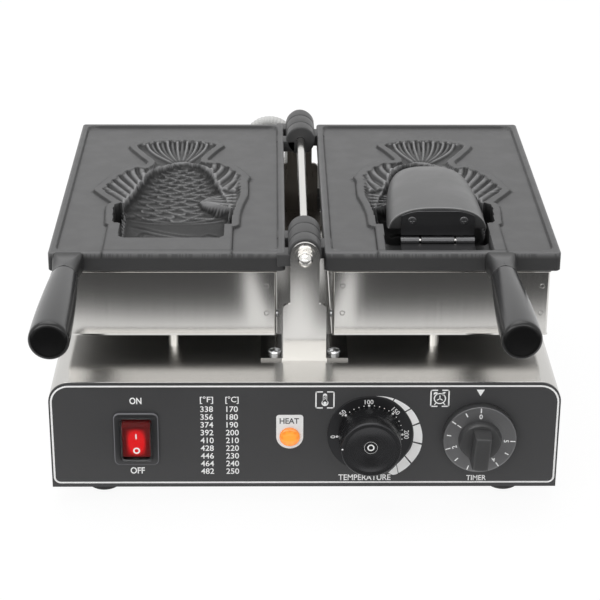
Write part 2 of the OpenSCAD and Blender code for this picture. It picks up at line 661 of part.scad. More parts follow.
// Ring of a tube round point p, square to direction t; aside is a direction that the route never takes
function tube_ring(p, t, aside, r, n) =
    let (d = t / norm(t), s0 = cross(d, aside), s = s0 / norm(s0), u = cross(s, d))
    [for (i = [0:n - 1]) p + r * (cos(360 * i / n) * s + sin(360 * i / n) * u)];
function bend(a, b, c, d, t) = 0.5 * (2 * b + (c - a) * t + (2 * a - 5 * b + 4 * c - d) * t * t
    + (3 * b - a - 3 * c + d) * t * t * t);
function smooth_route(p) = let (n = len(p)) concat(
    [for (i = [0:n - 2]) for (k = [0:2])
        bend(p[max(i - 1, 0)], p[i], p[i + 1], p[min(i + 2, n - 1)], k / 3)], [p[n - 1]]);
module conduit(route, side) {
    pts = smooth_route([for (p = route) [p[0], p[1] + pan_d / 2, p[2]]]);
    n = len(pts);
    skin([for (i = [0:n - 1])
        tube_ring(pts[i], i == 0 ? [0, 1, 0] : i == n - 1 ? [0, 0, -1] : pts[i + 1] - pts[i - 1],
            [-side, 1, -1], conduit_d / 2, conduit_sides)]);
}
module left_conduit() color("lightgray") on_base() conduit(left_route, left);
module right_conduit() color("lightgray") on_base() conduit(right_route, right);

// Mould halves
module knuckles(side) {
    ranges = side < 0 ? [[knuckle_1, knuckle_outer], [knuckle_3, knuckle_inner]] : [[knuckle_2, knuckle_mid]];
    for (rear = [false, true], r = ranges) end_frame(rear) {
        translate([0, 0, close_gap / 2]) rod_y(knuckle_d, r[0], r[0] + r[1]);
        box(0, plate_gap + cut, r[0], r[0] + r[1], -knuckle_d * 0.4, 0);
    }
}
module boss(x) translate([x, -plate_d / 2, -grip_drop]) hull() {
    box(-13, 13, 0, 1, -grip_drop, grip_drop);
    rod_y(grip_neck_d, -boss_l, -boss_l + 1, $fn = 32);
}
module mould_cut(side) {
    linear_extrude(2 * field_depth, center = true) difference() {
        translate([mould_shift, plate_d / 2])
            square([plate_w - 2 * rim_w, plate_d - 2 * rim_w], center = true);
        polygon(land);
    }
    linear_extrude(2 * fin_depth, center = true) polygon(fish);
    skin([for (s = cavity_sections) trough_ring(s)]);
    along_y(side < 0 ? neck_front : core_hinge_y + cut, mouth_y + cut) polygon(concat(
        [[neck_half_w, cut], [-neck_half_w, cut]], [for (i = [0:ring_steps])
            let (p = oval(neck_half_w, neck_half_h, 180 - 180 * i / ring_steps)) [p[0], -p[1]]]));
}
// Thick back of the casting: a wide step under the body and a narrow one under the tail
module mould_back() {
    wide = core_half_w + wafer_t + mould_wall;
    deep = -core_half_h - wafer_t - mould_wall;
    box(-wide, wide, neck_front - mould_wall, back_step_y, deep, -plate_t / 2);
    box(-wide + 14, wide - 14, back_step_y - cut, back_end_y, deep + 7, -plate_t / 2);
}
module plate(side, grip_x) half(side) difference() {
    union() {
        translate([half_x, 0, -plate_t]) linear_extrude(plate_t) round_rect(plate_w, plate_d, plate_corner_r);
        in_mould() mould_back();
        knuckles(side);
        boss(grip_x);
    }
    in_mould() mould_cut(side);
    translate([0, 0, close_gap / 2]) rod_y(rod_d + 2 * fit, -plate_d, plate_d);
    translate([grip_x, -plate_d / 2, -grip_drop]) rod_y(stud_d + 2 * fit, -boss_l - cut, 0);
    if (side > 0) in_mould() {
        box(-neck_half_w, neck_half_w, rim_w, core_hinge_y + 2 * cut, pocket_floor, cut);
        lower_screw_places() translate([0, 0, -6]) cylinder(d = leaf_screw_d + 2 * fit, h = 6);
    }
}
module left_plate() color("darkslategray") plate(left, left_grip_x);
module right_plate() color("darkslategray") plate(right, right_grip_x);

module pan(side) half(side) translate([half_x, 0, 0]) difference() {
    box(-pan_w / 2, pan_w / 2, -pan_d / 2, pan_d / 2, pan_bottom, -plate_t);
    box(-pan_w / 2 + pan_t, pan_w / 2 - pan_t, -pan_d / 2 + pan_t, pan_d / 2 - pan_t,
        pan_bottom - cut, -plate_t - pan_t);
    box(-pan_w / 2 + pan_flange, pan_w / 2 - pan_flange, -pan_d / 2 + pan_flange, pan_d / 2 - pan_flange,
        -plate_t - 2 * pan_t, -plate_t + cut);
    pan_screw_places() rotate([0, 90, 0]) cylinder(d = pan_screw_d + 2 * fit, h = 4 * pan_t, center = true);
    gland_place() rod_y(gland_bore + 2 * pan_t, -2 * pan_t, cut);
}
// Screws through the long sides of a pan into its cover's flanges
module pan_screw_places()
    for (x = [0, 1], y = [-1, 0, 1]) mirror([x, 0, 0])
        translate([pan_w / 2, y * pan_screw_y, pan_bottom + pan_t + pan_flange / 2]) children();
module gland_place()
    translate([gland_side - half_x, pan_d / 2, base_top + gland_height - plate_top]) children();
module pan_cover(side) half(side) translate([half_x, 0, 0]) difference() {
    box(-pan_w / 2 + pan_t, pan_w / 2 - pan_t, -pan_d / 2 + pan_t, pan_d / 2 - pan_t,
        pan_bottom, pan_bottom + pan_t + pan_flange);
    box(-pan_w / 2 + 2 * pan_t, pan_w / 2 - 2 * pan_t, -pan_d / 2, pan_d / 2,
        pan_bottom + pan_t, pan_bottom + 2 * pan_t + pan_flange);
    pan_screw_places() rotate([0, 90, 0]) cylinder(d = pan_screw_d + 2 * fit, h = 6 * pan_t, center = true);
}
module pan_screws(side) half(side) translate([half_x, 0, 0])
    pan_screw_places() rotate([0, 90, 0]) pan_screw(pan_screw_d, pan_screw_l);
// Tubular element: two legs and a front run, bent round the mould and clamped under the plate
module element(side) half(side) translate([mould_x, 0, -plate_t - pan_t - element_d / 2]) {
    x = element_gap / 2;
    front = -pan_d / 2 + pan_t + pan_flange / 2 - 1;
    back = pan_d / 2 - 12;
    for (m = [0, 1]) mirror([m, 0, 0]) {
        translate([x, 0, 0]) rod_y(element_d, front + element_bend_r, back);
        translate([x - element_bend_r, front + element_bend_r, 0]) rotate([0, 0, -90])
            rotate_extrude(angle = 90) translate([element_bend_r, 0]) circle(d = element_d);
        translate([0, front, 0]) rod_x(element_d, 0, x - element_bend_r);
        translate([x, 0, 0]) rod_y(element_d / 3, back, back + 8);
    }
}
module insulation(side) half(side) translate([half_x, 0, pan_bottom + pan_t])
    box(-pan_w / 2 + pan_screw_l, pan_w / 2 - pan_screw_l, -pan_d / 2 + 2 * pan_t, pan_d / 2 - 2 * pan_t,
        0, insulation_t);
module gland(side) half(side) translate([half_x, 0, 0]) gland_place() difference() {
    union() {
        rod_y(gland_d, 0, gland_l * 0.5);
        rod_y(gland_d - 2, 0, gland_l);
        rod_y(gland_bore + 2 * pan_t - 2 * fit, -8, 0);
    }
    rod_y(gland_bore, -8 - cut, gland_l + cut);
}
module at_grip(side, x) half(side) translate([x, -plate_d / 2, -grip_drop]) children();
module stud(side, x) at_grip(side, x) rod_y(stud_d, -boss_l - stud_in_grip, -cut);
// Grip: a neck that swells in an easy curve to a flat end with a rounded edge
module grip(side, x) at_grip(side, x) difference() {
    translate([0, -boss_l, 0]) rotate([90, 0, 0]) rotate_extrude() polygon(concat([[0, 0]],
        [for (i = [0:8]) let (t = i / 8)
            [(grip_neck_d + (grip_end_d - grip_neck_d) * sin(90 * t)) / 2, t * (grip_l - end_radius)]],
        [for (a = [15:15:90])
            [grip_end_d / 2 - end_radius * (1 - cos(a)), grip_l - end_radius * (1 - sin(a))]],
        [[0, grip_l]]));
    rod_y(stud_d + 2 * fit, -boss_l - stud_in_grip, 0);
}
module left_pan() color("silver") pan(left);
module left_pan_cover() color("silver") pan_cover(left);
module left_pan_screws() color("gray") pan_screws(left);
module left_element() color("dimgray") element(left);
module left_insulation() color("white") insulation(left);
module left_stud() color("silver") stud(left, left_grip_x);
module left_grip() color("black") grip(left, left_grip_x);
module left_gland() color("black") gland(left);
module right_pan() color("silver") pan(right);
module right_pan_cover() color("silver") pan_cover(right);
module right_pan_screws() color("gray") pan_screws(right);
module right_element() color("dimgray") element(right);
module right_insulation() color("white") insulation(right);
module right_stud() color("silver") stud(right, right_grip_x);
module right_grip() color("black") grip(right, right_grip_x);
module right_gland() color("black") gland(right);
module thermostat_bulb() color("peru") half(right)
    translate([plate_gap + plate_w - pan_inset_x - pan_t - 3.5, 0, -plate_t - pan_t - 3]) rod_y(6, -40, 40);

// Mouth core and its hinge
module lower_screw_places()
    for (x = [-1, 1]) translate([x * leaf_screw_gap / 2, lower_screw_y, pocket_floor + leaf_t]) children();
module upper_screw_places()
    for (x = [-1, 1])
        translate([x * leaf_screw_gap / 2, core_front - leaf_t, leaf_screw_z]) rotate([90, 0, 0]) children();
module barrel_frame() translate([0, core_hinge_y, -core_hinge_z]) children();
module barrel_bore() barrel_frame() rod_x(core_pin_d + 2 * fit, -leaf_w, leaf_w);
module core_lower_leaf() color("darkgray") mould(right) difference() {
    union() {
        box(-leaf_w / 2, leaf_w / 2, rim_w + cut, core_hinge_y - barrel_r - part_gap,
            pocket_floor, pocket_floor + leaf_t);
        for (m = [0, 1]) mirror([m, 0, 0]) {
            box(leaf_mid_w / 2 + run_gap / 2, leaf_w / 2, rim_w + cut, core_hinge_y,
                pocket_floor, pocket_floor + leaf_t);
            barrel_frame() rod_x(2 * barrel_r, leaf_mid_w / 2 + run_gap / 2, leaf_w / 2);
        }
    }
    barrel_bore();
    lower_screw_places() flush_hole(leaf_screw_d, 2 * leaf_t);
}
module lower_leaf_screws() color("silver") mould(right) lower_screw_places() flush_screw(leaf_screw_d, 6);
module core_hinge_pin() color("silver") mould(right) barrel_frame()
    rod_x(core_pin_d, -leaf_w / 2, leaf_w / 2);
module core_upper_leaf() color("dimgray") mould(right) difference() {
    union() {
        box(-leaf_w / 2, leaf_w / 2, core_front - leaf_t, core_front,
            -core_hinge_z + barrel_r + part_gap, leaf_up);
        box(-leaf_mid_w / 2 + run_gap / 2, leaf_mid_w / 2 - run_gap / 2, core_front - leaf_t, core_front,
            -core_hinge_z, leaf_up);
        barrel_frame() rod_x(2 * barrel_r, -leaf_mid_w / 2 + run_gap / 2, leaf_mid_w / 2 - run_gap / 2);
    }
    barrel_bore();
    upper_screw_places() flush_hole(leaf_screw_d, 2 * leaf_t);
}
module upper_leaf_screws() color("silver") mould(right) upper_screw_places() flush_screw(leaf_screw_d, 8);
module mouth_core() color("gray") mould(right) difference() {
    skin([for (s = core_sections) full_ring(s)]);
    upper_screw_places() translate([0, 0, -8]) cylinder(d = leaf_screw_d + 2 * fit, h = 8 + cut);
}

base_shell();
base_floor();
control_panel();
rear_panel();
rear_panel_screws();
rubber_feet();
foot_screws();
front_bracket();
rear_bracket();
bracket_screws();
hinge_rod();
cap_nuts();
hinge_washers();
rest_posts();
switch_housing();
power_rocker();
switch_boot();
lamp_label();
lamp_lens();
lamp_body();
temperature_dial();
temperature_knob();
thermostat_shaft();
thermostat();
timer_knob();
timer_shaft();
timer_movement();
terminal_block();
mains_gland();
base_glands();
left_conduit();
right_conduit();
left_plate();
left_pan();
left_pan_cover();
left_pan_screws();
left_element();
left_insulation();
left_stud();
left_grip();
left_gland();
right_plate();
right_pan();
right_pan_cover();
right_pan_screws();
right_element();
right_insulation();
right_stud();
right_grip();
right_gland();
thermostat_bulb();
core_lower_leaf();
lower_leaf_screws();
core_hinge_pin();
mouth_core();
core_upper_leaf();
upper_leaf_screws();
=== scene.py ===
import math
import bmesh
import bpy
import numpy as np
from bpy.props import FloatProperty, FloatVectorProperty, PointerProperty
from mathutils import Matrix, Vector


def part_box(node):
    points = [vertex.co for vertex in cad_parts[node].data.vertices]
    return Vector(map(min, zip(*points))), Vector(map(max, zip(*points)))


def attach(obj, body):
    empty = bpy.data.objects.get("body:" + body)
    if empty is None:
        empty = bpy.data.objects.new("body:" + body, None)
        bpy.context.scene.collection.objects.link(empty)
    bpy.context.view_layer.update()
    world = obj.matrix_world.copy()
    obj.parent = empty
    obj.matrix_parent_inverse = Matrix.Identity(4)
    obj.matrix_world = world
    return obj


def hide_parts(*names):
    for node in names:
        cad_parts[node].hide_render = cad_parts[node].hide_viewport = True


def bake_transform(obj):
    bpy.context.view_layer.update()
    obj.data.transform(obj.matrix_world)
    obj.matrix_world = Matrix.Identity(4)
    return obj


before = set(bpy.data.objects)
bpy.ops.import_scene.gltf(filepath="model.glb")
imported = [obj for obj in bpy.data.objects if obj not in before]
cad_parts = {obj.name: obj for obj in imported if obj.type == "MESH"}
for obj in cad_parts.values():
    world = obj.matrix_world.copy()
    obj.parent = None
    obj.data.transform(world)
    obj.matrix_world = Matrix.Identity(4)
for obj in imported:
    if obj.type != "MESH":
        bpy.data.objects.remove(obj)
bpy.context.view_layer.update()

bl_info = {
    "name": "Waffle cone maker",
    "version": (1, 0, 0),
    "blender": (4, 5, 0),
    "location": "View3D > Sidebar > Cone maker",
    "description": "Builds the visible pieces and finishes of a twin-plate waffle cone maker",
    "category": "Add Mesh",
}

MM = 0.001


def low(node):
    """Lowest corner of a CAD node, in millimetres."""
    return np.array(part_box(node)[0]) / MM


def high(node):
    """Highest corner of a CAD node, in millimetres."""
    return np.array(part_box(node)[1]) / MM


def centre_of(node):
    """Centre of a CAD node, in millimetres."""
    return (low(node) + high(node)) / 2


# Places taken from the frame and sizes of the solids, in millimetres
FACE_Y = low("control_panel")[1]
FOOT_H = low("control_panel")[2]
BASE_TOP = high("base_shell")[2]
BASE_W = high("control_panel")[0] * 2
ROD = centre_of("hinge_rod")
PLATE_TOP = ROD[2] - 0.15
PLATE_FRONT = -98.75
PLATE_IN = 13.0
PLATE_OUT = 170.5
PLATE_D = 262.0
MOULD_X = 90.35
MID_Y = ROD[1]
SWITCH = centre_of("power_rocker")
LAMP = centre_of("lamp_lens")
DIAL = centre_of("temperature_dial")
TIMER = centre_of("timer_shaft")
HINGE_HALF = 137.5
GRIP_DROP = 6.8
GRIP_X = {-1: -157.0, 1: 130.0}
GRIP_NECK = 18.0
GRIP_END = 25.5

# Power of the superellipses of core and bowl
BOW = 2.6

# The camera: place and direction, in metres, turn about its line of sight, and focal length in millimetres
VIEW_PLACE = (-0.02124, -1.26076, 0.65457)
VIEW_WAY = (0.01422, 0.91195, -0.41006)
VIEW_ROLL = 0.34
VIEW_LENS = 114.07


# Sizes and colours ------------------------

def measure(name, description, millimetres):
    """A setting that is a length."""
    return FloatProperty(name=name, description=description, default=millimetres * MM, unit="LENGTH")


def paint(name, description, colour):
    """A setting that is a colour."""
    return FloatVectorProperty(name=name, description=description, subtype="COLOR", default=colour)


class MouldSizes(bpy.types.PropertyGroup):
    """Relief of the two cooking plates."""
    rim: measure("Rim", "Width of the raised rim", 4.5)
    field: measure("Field", "Depth of the field inside the rim", 1.8)
    fin: measure("Fins", "Depth of the fins and the tail", 4.2)
    rib: measure("Rib", "Height of the ribs of fins and tail", 1.7)
    scale: measure("Scale", "Height of a scale's edge", 1.7)
    row: measure("Row", "Distance between rows of scales", 6.4)
    step: measure("Step", "Grid step of the relief", 0.7)


class PanelSizes(bpy.types.PropertyGroup):
    """Print of the control panel and its dials."""
    line: measure("Line", "Width of the printed border", 1.2)
    words: measure("Words", "Height of the large words", 4.6)
    table: measure("Table", "Height of the table's numbers", 4.1)
    row: measure("Row", "Distance between the table's rows", 5.87)


class Colours(bpy.types.PropertyGroup):
    """Main colours."""
    coat: paint("Coating", "Colour of the plates", (0.087, 0.087, 0.088))
    steel: paint("Steel", "Colour of the stainless sheet", (0.6, 0.59, 0.57))
    panel: paint("Panel", "Colour of the control panel", (0.04, 0.04, 0.0415))
    grip: paint("Grips", "Colour of the handles", (0.022, 0.022, 0.023))
    rocker: paint("Rocker", "Colour of the rocker", (0.62, 0.006, 0.008))
    lamp: paint("Lamp", "Colour of the lamp", (0.9, 0.27, 0.03))


# Mesh tools ------------------------

def grid_faces(rows, columns, wrap, offset):
    """Quads of a grid of rows x columns points; wrap joins the last column to the first."""
    r = np.arange(rows - 1)[:, None]
    c = np.arange(columns if wrap else columns - 1)[None, :]
    n = (c + 1) % columns
    return (np.stack([r * columns + c, r * columns + n, (r + 1) * columns + n, (r + 1) * columns + c], -1)
            .reshape(-1, 4) + offset)


def xyz(x, y, z):
    """Points from three coordinates, each an array or one number for all."""
    return np.stack(np.broadcast_arrays(x, y, z), -1)


def circle(sides):
    """Angles of a closed ring of points."""
    return np.linspace(0, 2 * np.pi, sides, endpoint=False)


def quarter(count):
    """Angles of a quarter turn."""
    return np.linspace(0, np.pi / 2, count)


def unit(a):
    """Points (cos a, sin a) of the unit circle."""
    return np.stack([np.cos(a), np.sin(a)], -1)


def round_axis(a, first, second):
    """Directions first cos a + second sin a."""
    return np.cos(a)[:, None] * first + np.sin(a)[:, None] * second


def link(name, data):
    """A new object in the scene."""
    made = bpy.data.objects.new(name, data)
    bpy.context.scene.collection.objects.link(made)
    return made


def new_object(name, mesh, finish):
    """An object of a mesh with one finish, in the scene."""
    mesh.materials.append(finish)
    return link(name, mesh)


def turn_to_front(mesh):
    """Turns flat faces round that look backwards."""
    work = bmesh.new()
    work.from_mesh(mesh)
    work.normal_update()
    bmesh.ops.reverse_faces(work, faces=[face for face in work.faces if face.normal.y > 0])
    work.to_mesh(mesh)
    work.free()


class Skin:
    """Collects surfaces and makes one mesh object of them. All lengths are in millimetres."""

    def __init__(self):
        self.points, self.quads, self.caps, self.uvs, self.count = [], [], [], [], 0

    def sheet(self, points, wrap=False, caps=False):
        """A grid of points (rows, columns, 3). wrap closes the rows, caps fills the first and last row."""
        rows, columns = points.shape[:2]
        self.quads.append(grid_faces(rows, columns, wrap, self.count))
        if caps:
            self.caps.append(self.count + np.arange(columns)[::-1])
            self.caps.append(self.count + (rows - 1) * columns + np.arange(columns))
        v, u = np.meshgrid(np.arange(rows) / (rows - 1), np.arange(columns) / columns, indexing="ij")
        self.uvs.append(np.stack([u, v], -1).reshape(-1, 2))
        self.points.append(points.reshape(-1, 3))
        self.count += rows * columns
        return self

    def make(self, name, finish, body, slot, closed=True, angle=35, stands_for=(), attributes=None):
        """One object of all that was collected, riding on body; closed shells are welded, faces outwards."""
        points = np.concatenate(self.points) * MM
        faces = np.concatenate(self.quads).tolist()
        faces += [c.tolist() for c in self.caps]
        mesh = bpy.data.meshes.new(name)
        mesh.from_pydata(points.tolist(), [], faces)
        for key, values in (attributes or {}).items():
            layer = mesh.attributes.new(key, "FLOAT", "POINT")
            layer.data.foreach_set("value", values.astype(np.float32))
        corner = np.zeros(len(mesh.loops), np.int32)
        mesh.loops.foreach_get("vertex_index", corner)
        mesh.uv_layers.new(name="Surface").data.foreach_set("uv", np.concatenate(self.uvs)[corner].ravel())
        if closed:
            work = bmesh.new()
            work.from_mesh(mesh)
            bmesh.ops.remove_doubles(work, verts=work.verts, dist=0.002 * MM)
            bmesh.ops.dissolve_degenerate(work, edges=work.edges, dist=0.001 * MM)
            bmesh.ops.recalc_face_normals(work, faces=work.faces)
            work.to_mesh(mesh)
            work.free()
        mesh.shade_smooth()
        mesh.set_sharp_from_angle(angle=math.radians(angle))
        piece = new_object(name, mesh, FINISH[finish])
        if body:
            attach(piece, body)
        if stands_for:
            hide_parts(*stands_for)
        return piece


def side_frame(axis):
    """Two directions square to axis that make a right-handed set with it."""
    axis = np.array(axis, float) / np.linalg.norm(axis)
    helper = np.array([0, 0, 1.0]) if abs(axis[2]) < 0.9 else np.array([0, 1.0, 0])
    first = np.cross(helper, axis)
    first /= np.linalg.norm(first)
    return first, np.cross(axis, first), axis


def turned(profile, origin, axis, turns):
    """Profile of (distance along axis, radius) carried once round the axis."""
    first, second, axis = side_frame(axis)
    ring = round_axis(circle(turns), first, second)
    profile = np.array(profile, float)
    return np.array(origin, float) + profile[:, 0, None, None] * axis + profile[:, 1, None, None] * ring[None]


def rounded(w, h, r, steps):
    """Rectangle w x h with corners of radius r, anticlockwise, as (n, 2)."""
    arc = unit(quarter(steps + 1)) * r
    corners = [(1, 1, arc), (-1, 1, arc[::-1] * [-1, 1]), (-1, -1, -arc), (1, -1, arc[::-1] * [1, -1])]
    return np.concatenate([part + [x * (w / 2 - r), y * (h / 2 - r)] for x, y, part in corners])


def round_profile(depth, edge):
    """Pairs (distance, inset) of a block's side whose two edges are rounded with radius edge."""
    a = quarter(5)
    start = np.stack([edge * (1 - np.sin(a)), edge * (1 - np.cos(a))], -1)[::-1]
    end = np.stack([depth - edge + edge * np.sin(a), edge * (1 - np.cos(a))], -1)
    return np.concatenate([start, end])


def block(w, h, r, depth, edge, origin, axis):
    """Upright rounded rectangle carried along axis from origin, its ends drawn in by round_profile."""
    axis, up = np.array(axis, float), np.array([0, 0, 1.0])
    across = np.cross(up, axis)
    rings = []
    for along, inset in round_profile(depth, edge):
        ring = rounded(w - 2 * inset, h - 2 * inset, max(r - inset, 0.05), 6)
        rings.append(np.array(origin, float) + ring[:, :1] * across + ring[:, 1:] * up + along * axis)
    return np.stack(rings)


def blur_step(x, width):
    """0 below -width/2, 1 above width/2, smooth between."""
    t = np.clip(x / width + 0.5, 0, 1)
    return t * t * (3 - 2 * t)


def smooth_line(points, per=6):
    """Catmull-Rom curve through open points, per steps each."""
    p = np.array(points, float)
    q = np.concatenate([p[:1], p, p[-1:]])
    t = (np.arange(per) / per)[:, None]
    parts = []
    for a, b, c, d in zip(q[:-3], q[1:-2], q[2:-1], q[3:]):
        parts.append(0.5 * (2 * b + (c - a) * t + (2 * a - 5 * b + 4 * c - d) * t ** 2
                            + (3 * b - a - 3 * c + d) * t ** 3))
    return np.concatenate(parts + [p[-1:]])


def signed_distance(x, y, outline):
    """Distance from each grid point to a closed outline: below 0 inside, above 0 outside."""
    outline = np.array(outline, float)
    best = np.full(x.shape, 1e9)
    inside = np.zeros(x.shape, bool)
    for (ax, ay), (bx, by) in zip(outline, np.roll(outline, -1, 0)):
        dx, dy = bx - ax, by - ay
        t = np.clip(((x - ax) * dx + (y - ay) * dy) / (dx * dx + dy * dy + 1e-12), 0, 1)
        best = np.minimum(best, np.hypot(x - ax - t * dx, y - ay - t * dy))
        inside ^= ((ay > y) != (by > y)) & (x < dx * (y - ay) / (dy if dy else 1e-12) + ax)
    return np.where(inside, -best, best)


# Finishes ------------------------

FINISH = {}


def new_group(name, inputs, outputs):
    """An empty shader node group with named sockets: its tree, what enters it and what leaves it."""
    tree = bpy.data.node_groups.new(name, "ShaderNodeTree")
    for label, default in inputs.items():
        kind = "NodeSocketFloat" if isinstance(default, float) else "NodeSocketVector"
        tree.interface.new_socket(name=label, in_out="INPUT", socket_type=kind).default_value = default
    for label in outputs:
        tree.interface.new_socket(name=label, in_out="OUTPUT", socket_type="NodeSocketFloat")
    return tree, tree.nodes.new("NodeGroupInput").outputs, tree.nodes.new("NodeGroupOutput").inputs


def set_input(tree, socket, value):
    """Links a socket to value, or writes value in when it is a number."""
    if isinstance(value, bpy.types.NodeSocket):
        tree.links.new(value, socket)
    else:
        socket.default_value = value


def math_node(tree, operation, a, b=0.0):
    """Math node; a and b are sockets or numbers."""
    node = tree.nodes.new("ShaderNodeMath")
    node.operation = operation
    set_input(tree, node.inputs[0], a)
    set_input(tree, node.inputs[1], b)
    return node.outputs[0]


def ramp_node(tree, value, start, end, low_end=0.0, high_end=1.0):
    """Map Range node: start..end becomes low_end..high_end; each is a socket or a number."""
    node = tree.nodes.new("ShaderNodeMapRange")
    labels = ("Value", "From Min", "From Max", "To Min", "To Max")
    for label, number in zip(labels, (value, start, end, low_end, high_end)):
        set_input(tree, node.inputs[label], number)
    return node.outputs["Result"]


def stretch_node(tree, vector, factors):
    """Vector times factors, which are a socket or three numbers."""
    node = tree.nodes.new("ShaderNodeVectorMath")
    node.operation = "MULTIPLY"
    tree.links.new(vector, node.inputs[0])
    set_input(tree, node.inputs[1], factors)
    return node.outputs[0]


def split_node(tree, vector):
    """The X, Y and Z of a vector."""
    node = tree.nodes.new("ShaderNodeSeparateXYZ")
    tree.links.new(vector, node.inputs[0])
    return node.outputs


def noise_node(tree, vector, scale, detail=2.0, rough=0.5):
    """Noise texture at a scale that is a socket or a number."""
    node = tree.nodes.new("ShaderNodeTexNoise")
    node.inputs["Detail"].default_value = detail
    node.inputs["Roughness"].default_value = rough
    set_input(tree, node.inputs["Scale"], scale)
    tree.links.new(vector, node.inputs["Vector"])
    return node.outputs["Fac"]


def brushed_group():
    """Long fine streaks: noise stretched by the Stretch vector, over a slow cloudy change."""
    tree, enter, leave = new_group(
        "brushed_grain", {"Vector": (0, 0, 0), "Stretch": (1, 1, 1), "Scale": 900.0}, ("Streak", "Cloud"))
    drawn = stretch_node(tree, enter["Vector"], enter["Stretch"])
    fine = noise_node(tree, drawn, enter["Scale"], 3.0, 0.6)
    broad = noise_node(tree, drawn, math_node(tree, "MULTIPLY", enter["Scale"], 0.22))
    fine_share = math_node(tree, "MULTIPLY", fine, 0.6)
    broad_share = math_node(tree, "MULTIPLY", broad, 0.4)
    tree.links.new(math_node(tree, "ADD", fine_share, broad_share), leave["Streak"])
    tree.links.new(noise_node(tree, enter["Vector"], 14.0), leave["Cloud"])


def cast_group():
    """Orange-peel grain of a coating or a moulded face, with a slow mottle."""
    tree, enter, leave = new_group(
        "fine_grain", {"Vector": (0, 0, 0), "Scale": 700.0}, ("Grain", "Mottle"))
    tree.links.new(noise_node(tree, enter["Vector"], enter["Scale"], 3.0, 0.65), leave["Grain"])
    slow = math_node(tree, "MULTIPLY", enter["Scale"], 0.08)
    tree.links.new(noise_node(tree, enter["Vector"], slow, 3.0), leave["Mottle"])


def handled_group():
    """Soft smudges and a few rubbed patches, as hands leave them."""
    tree, enter, leave = new_group("handled", {"Vector": (0, 0, 0), "Scale": 60.0}, ("Rubbed",))
    smudge = noise_node(tree, enter["Vector"], enter["Scale"], 4.0, 0.6)
    tree.links.new(ramp_node(tree, smudge, 0.42, 0.68), leave["Rubbed"])


class Finish:
    """One material: a Principled shader and the nodes that feed it."""

    def __init__(self, name, **constants):
        self.material = bpy.data.materials.new(name)
        self.material.use_nodes = True
        self.tree = self.material.node_tree
        self.shader = self.tree.nodes["Principled BSDF"]
        for label, value in constants.items():
            self.shader.inputs[label.replace("_", " ")].default_value = value
        self.place = self.tree.nodes.new("ShaderNodeTexCoord").outputs["Object"]
        FINISH[name] = self.material

    def group(self, name, **values):
        """Places a shared group fed with object coordinates."""
        node = self.tree.nodes.new("ShaderNodeGroup")
        node.node_tree = bpy.data.node_groups[name]
        self.tree.links.new(self.place, node.inputs["Vector"])
        for label, value in values.items():
            node.inputs[label].default_value = value
        return node.outputs

    def blend(self, factor, first, second):
        """Colour mix; first and second are colours or sockets."""
        node = self.tree.nodes.new("ShaderNodeMix")
        node.data_type = "RGBA"
        self.tree.links.new(factor, node.inputs["Factor"])
        for index, value in ((6, first), (7, second)):
            if isinstance(value, bpy.types.NodeSocket):
                self.tree.links.new(value, node.inputs[index])
            else:
                node.inputs[index].default_value = (*value, 1)
        return node.outputs[2]

    def span(self, value, low_end, high_end, start=0.3, end=0.7):
        """Maps a mask from start..end to low_end..high_end."""
        return ramp_node(self.tree, value, start, end, low_end, high_end)

    def attribute(self, name):
        """A per-point value of the mesh."""
        node = self.tree.nodes.new("ShaderNodeAttribute")
        node.attribute_name = name
        return node.outputs["Fac"]

    def feed(self, label, socket):
        """Links a socket of the shader."""
        self.tree.links.new(socket, self.shader.inputs[label])

    def relief(self, height, distance, strength):
        """Bump from a height mask; distance is in metres."""
        node = self.tree.nodes.new("ShaderNodeBump")
        node.inputs["Strength"].default_value = strength
        node.inputs["Distance"].default_value = distance
        self.tree.links.new(height, node.inputs["Height"])
        self.feed("Normal", node.outputs["Normal"])


def tint(colour, factor):
    """A lighter or darker shade of a colour."""
    return tuple(min(c * factor, 1) for c in colour)


def brushed_metal(name, colour, stretch, rough, contrast=0.25, scale=900.0, bump=0.00002):
    """Brushed or drawn metal: streaks change its colour, its roughness and, a little, its surface."""
    finish = Finish(name, Metallic=1.0)
    grain = finish.group("brushed_grain", Stretch=stretch, Scale=scale)
    streaks = finish.blend(grain["Streak"], tint(colour, 1 - contrast), tint(colour, 1 + contrast))
    finish.feed("Base Color", finish.blend(grain["Cloud"], streaks, tint(colour, 0.92)))
    finish.feed("Roughness", finish.span(grain["Streak"], rough * 0.94, rough * 1.08))
    finish.relief(grain["Streak"], bump, 0.4)
    return finish


def darker_feet(finish, colour):
    """Painted shade on the foot flanges: the only parts of the bracket this low and this far from its middle.
    """
    flange_top, upright_edge = 0.0925, 0.0152
    tree = finish.tree
    way = split_node(tree, finish.place)
    flat = math_node(tree, "LESS_THAN", way["Z"], flange_top)
    wide = math_node(tree, "GREATER_THAN", math_node(tree, "ABSOLUTE", way["X"]), upright_edge)
    plain = finish.shader.inputs["Base Color"].links[0].from_socket
    finish.feed("Base Color", finish.blend(math_node(tree, "MULTIPLY", flat, wide), plain, colour))


def coated(name, colour, rough, scale=700.0, bump=0.00006, mottle=0.18, **constants):
    """Coated, moulded or painted surface: fine grain, slow mottle and rubbed patches."""
    finish = Finish(name, **constants)
    grain = finish.group("fine_grain", Scale=scale)
    rubbed = finish.group("handled", Scale=scale * 0.06)
    tone = finish.blend(grain["Mottle"], tint(colour, 1 - mottle), tint(colour, 1 + mottle))
    finish.feed("Base Color", finish.blend(grain["Grain"], tone, tint(colour, 1.08)))
    finish.feed("Roughness", finish.span(rubbed["Rubbed"], rough * 1.08, rough * 0.86, 0, 1))
    finish.relief(grain["Grain"], bump, 0.5)
    return finish


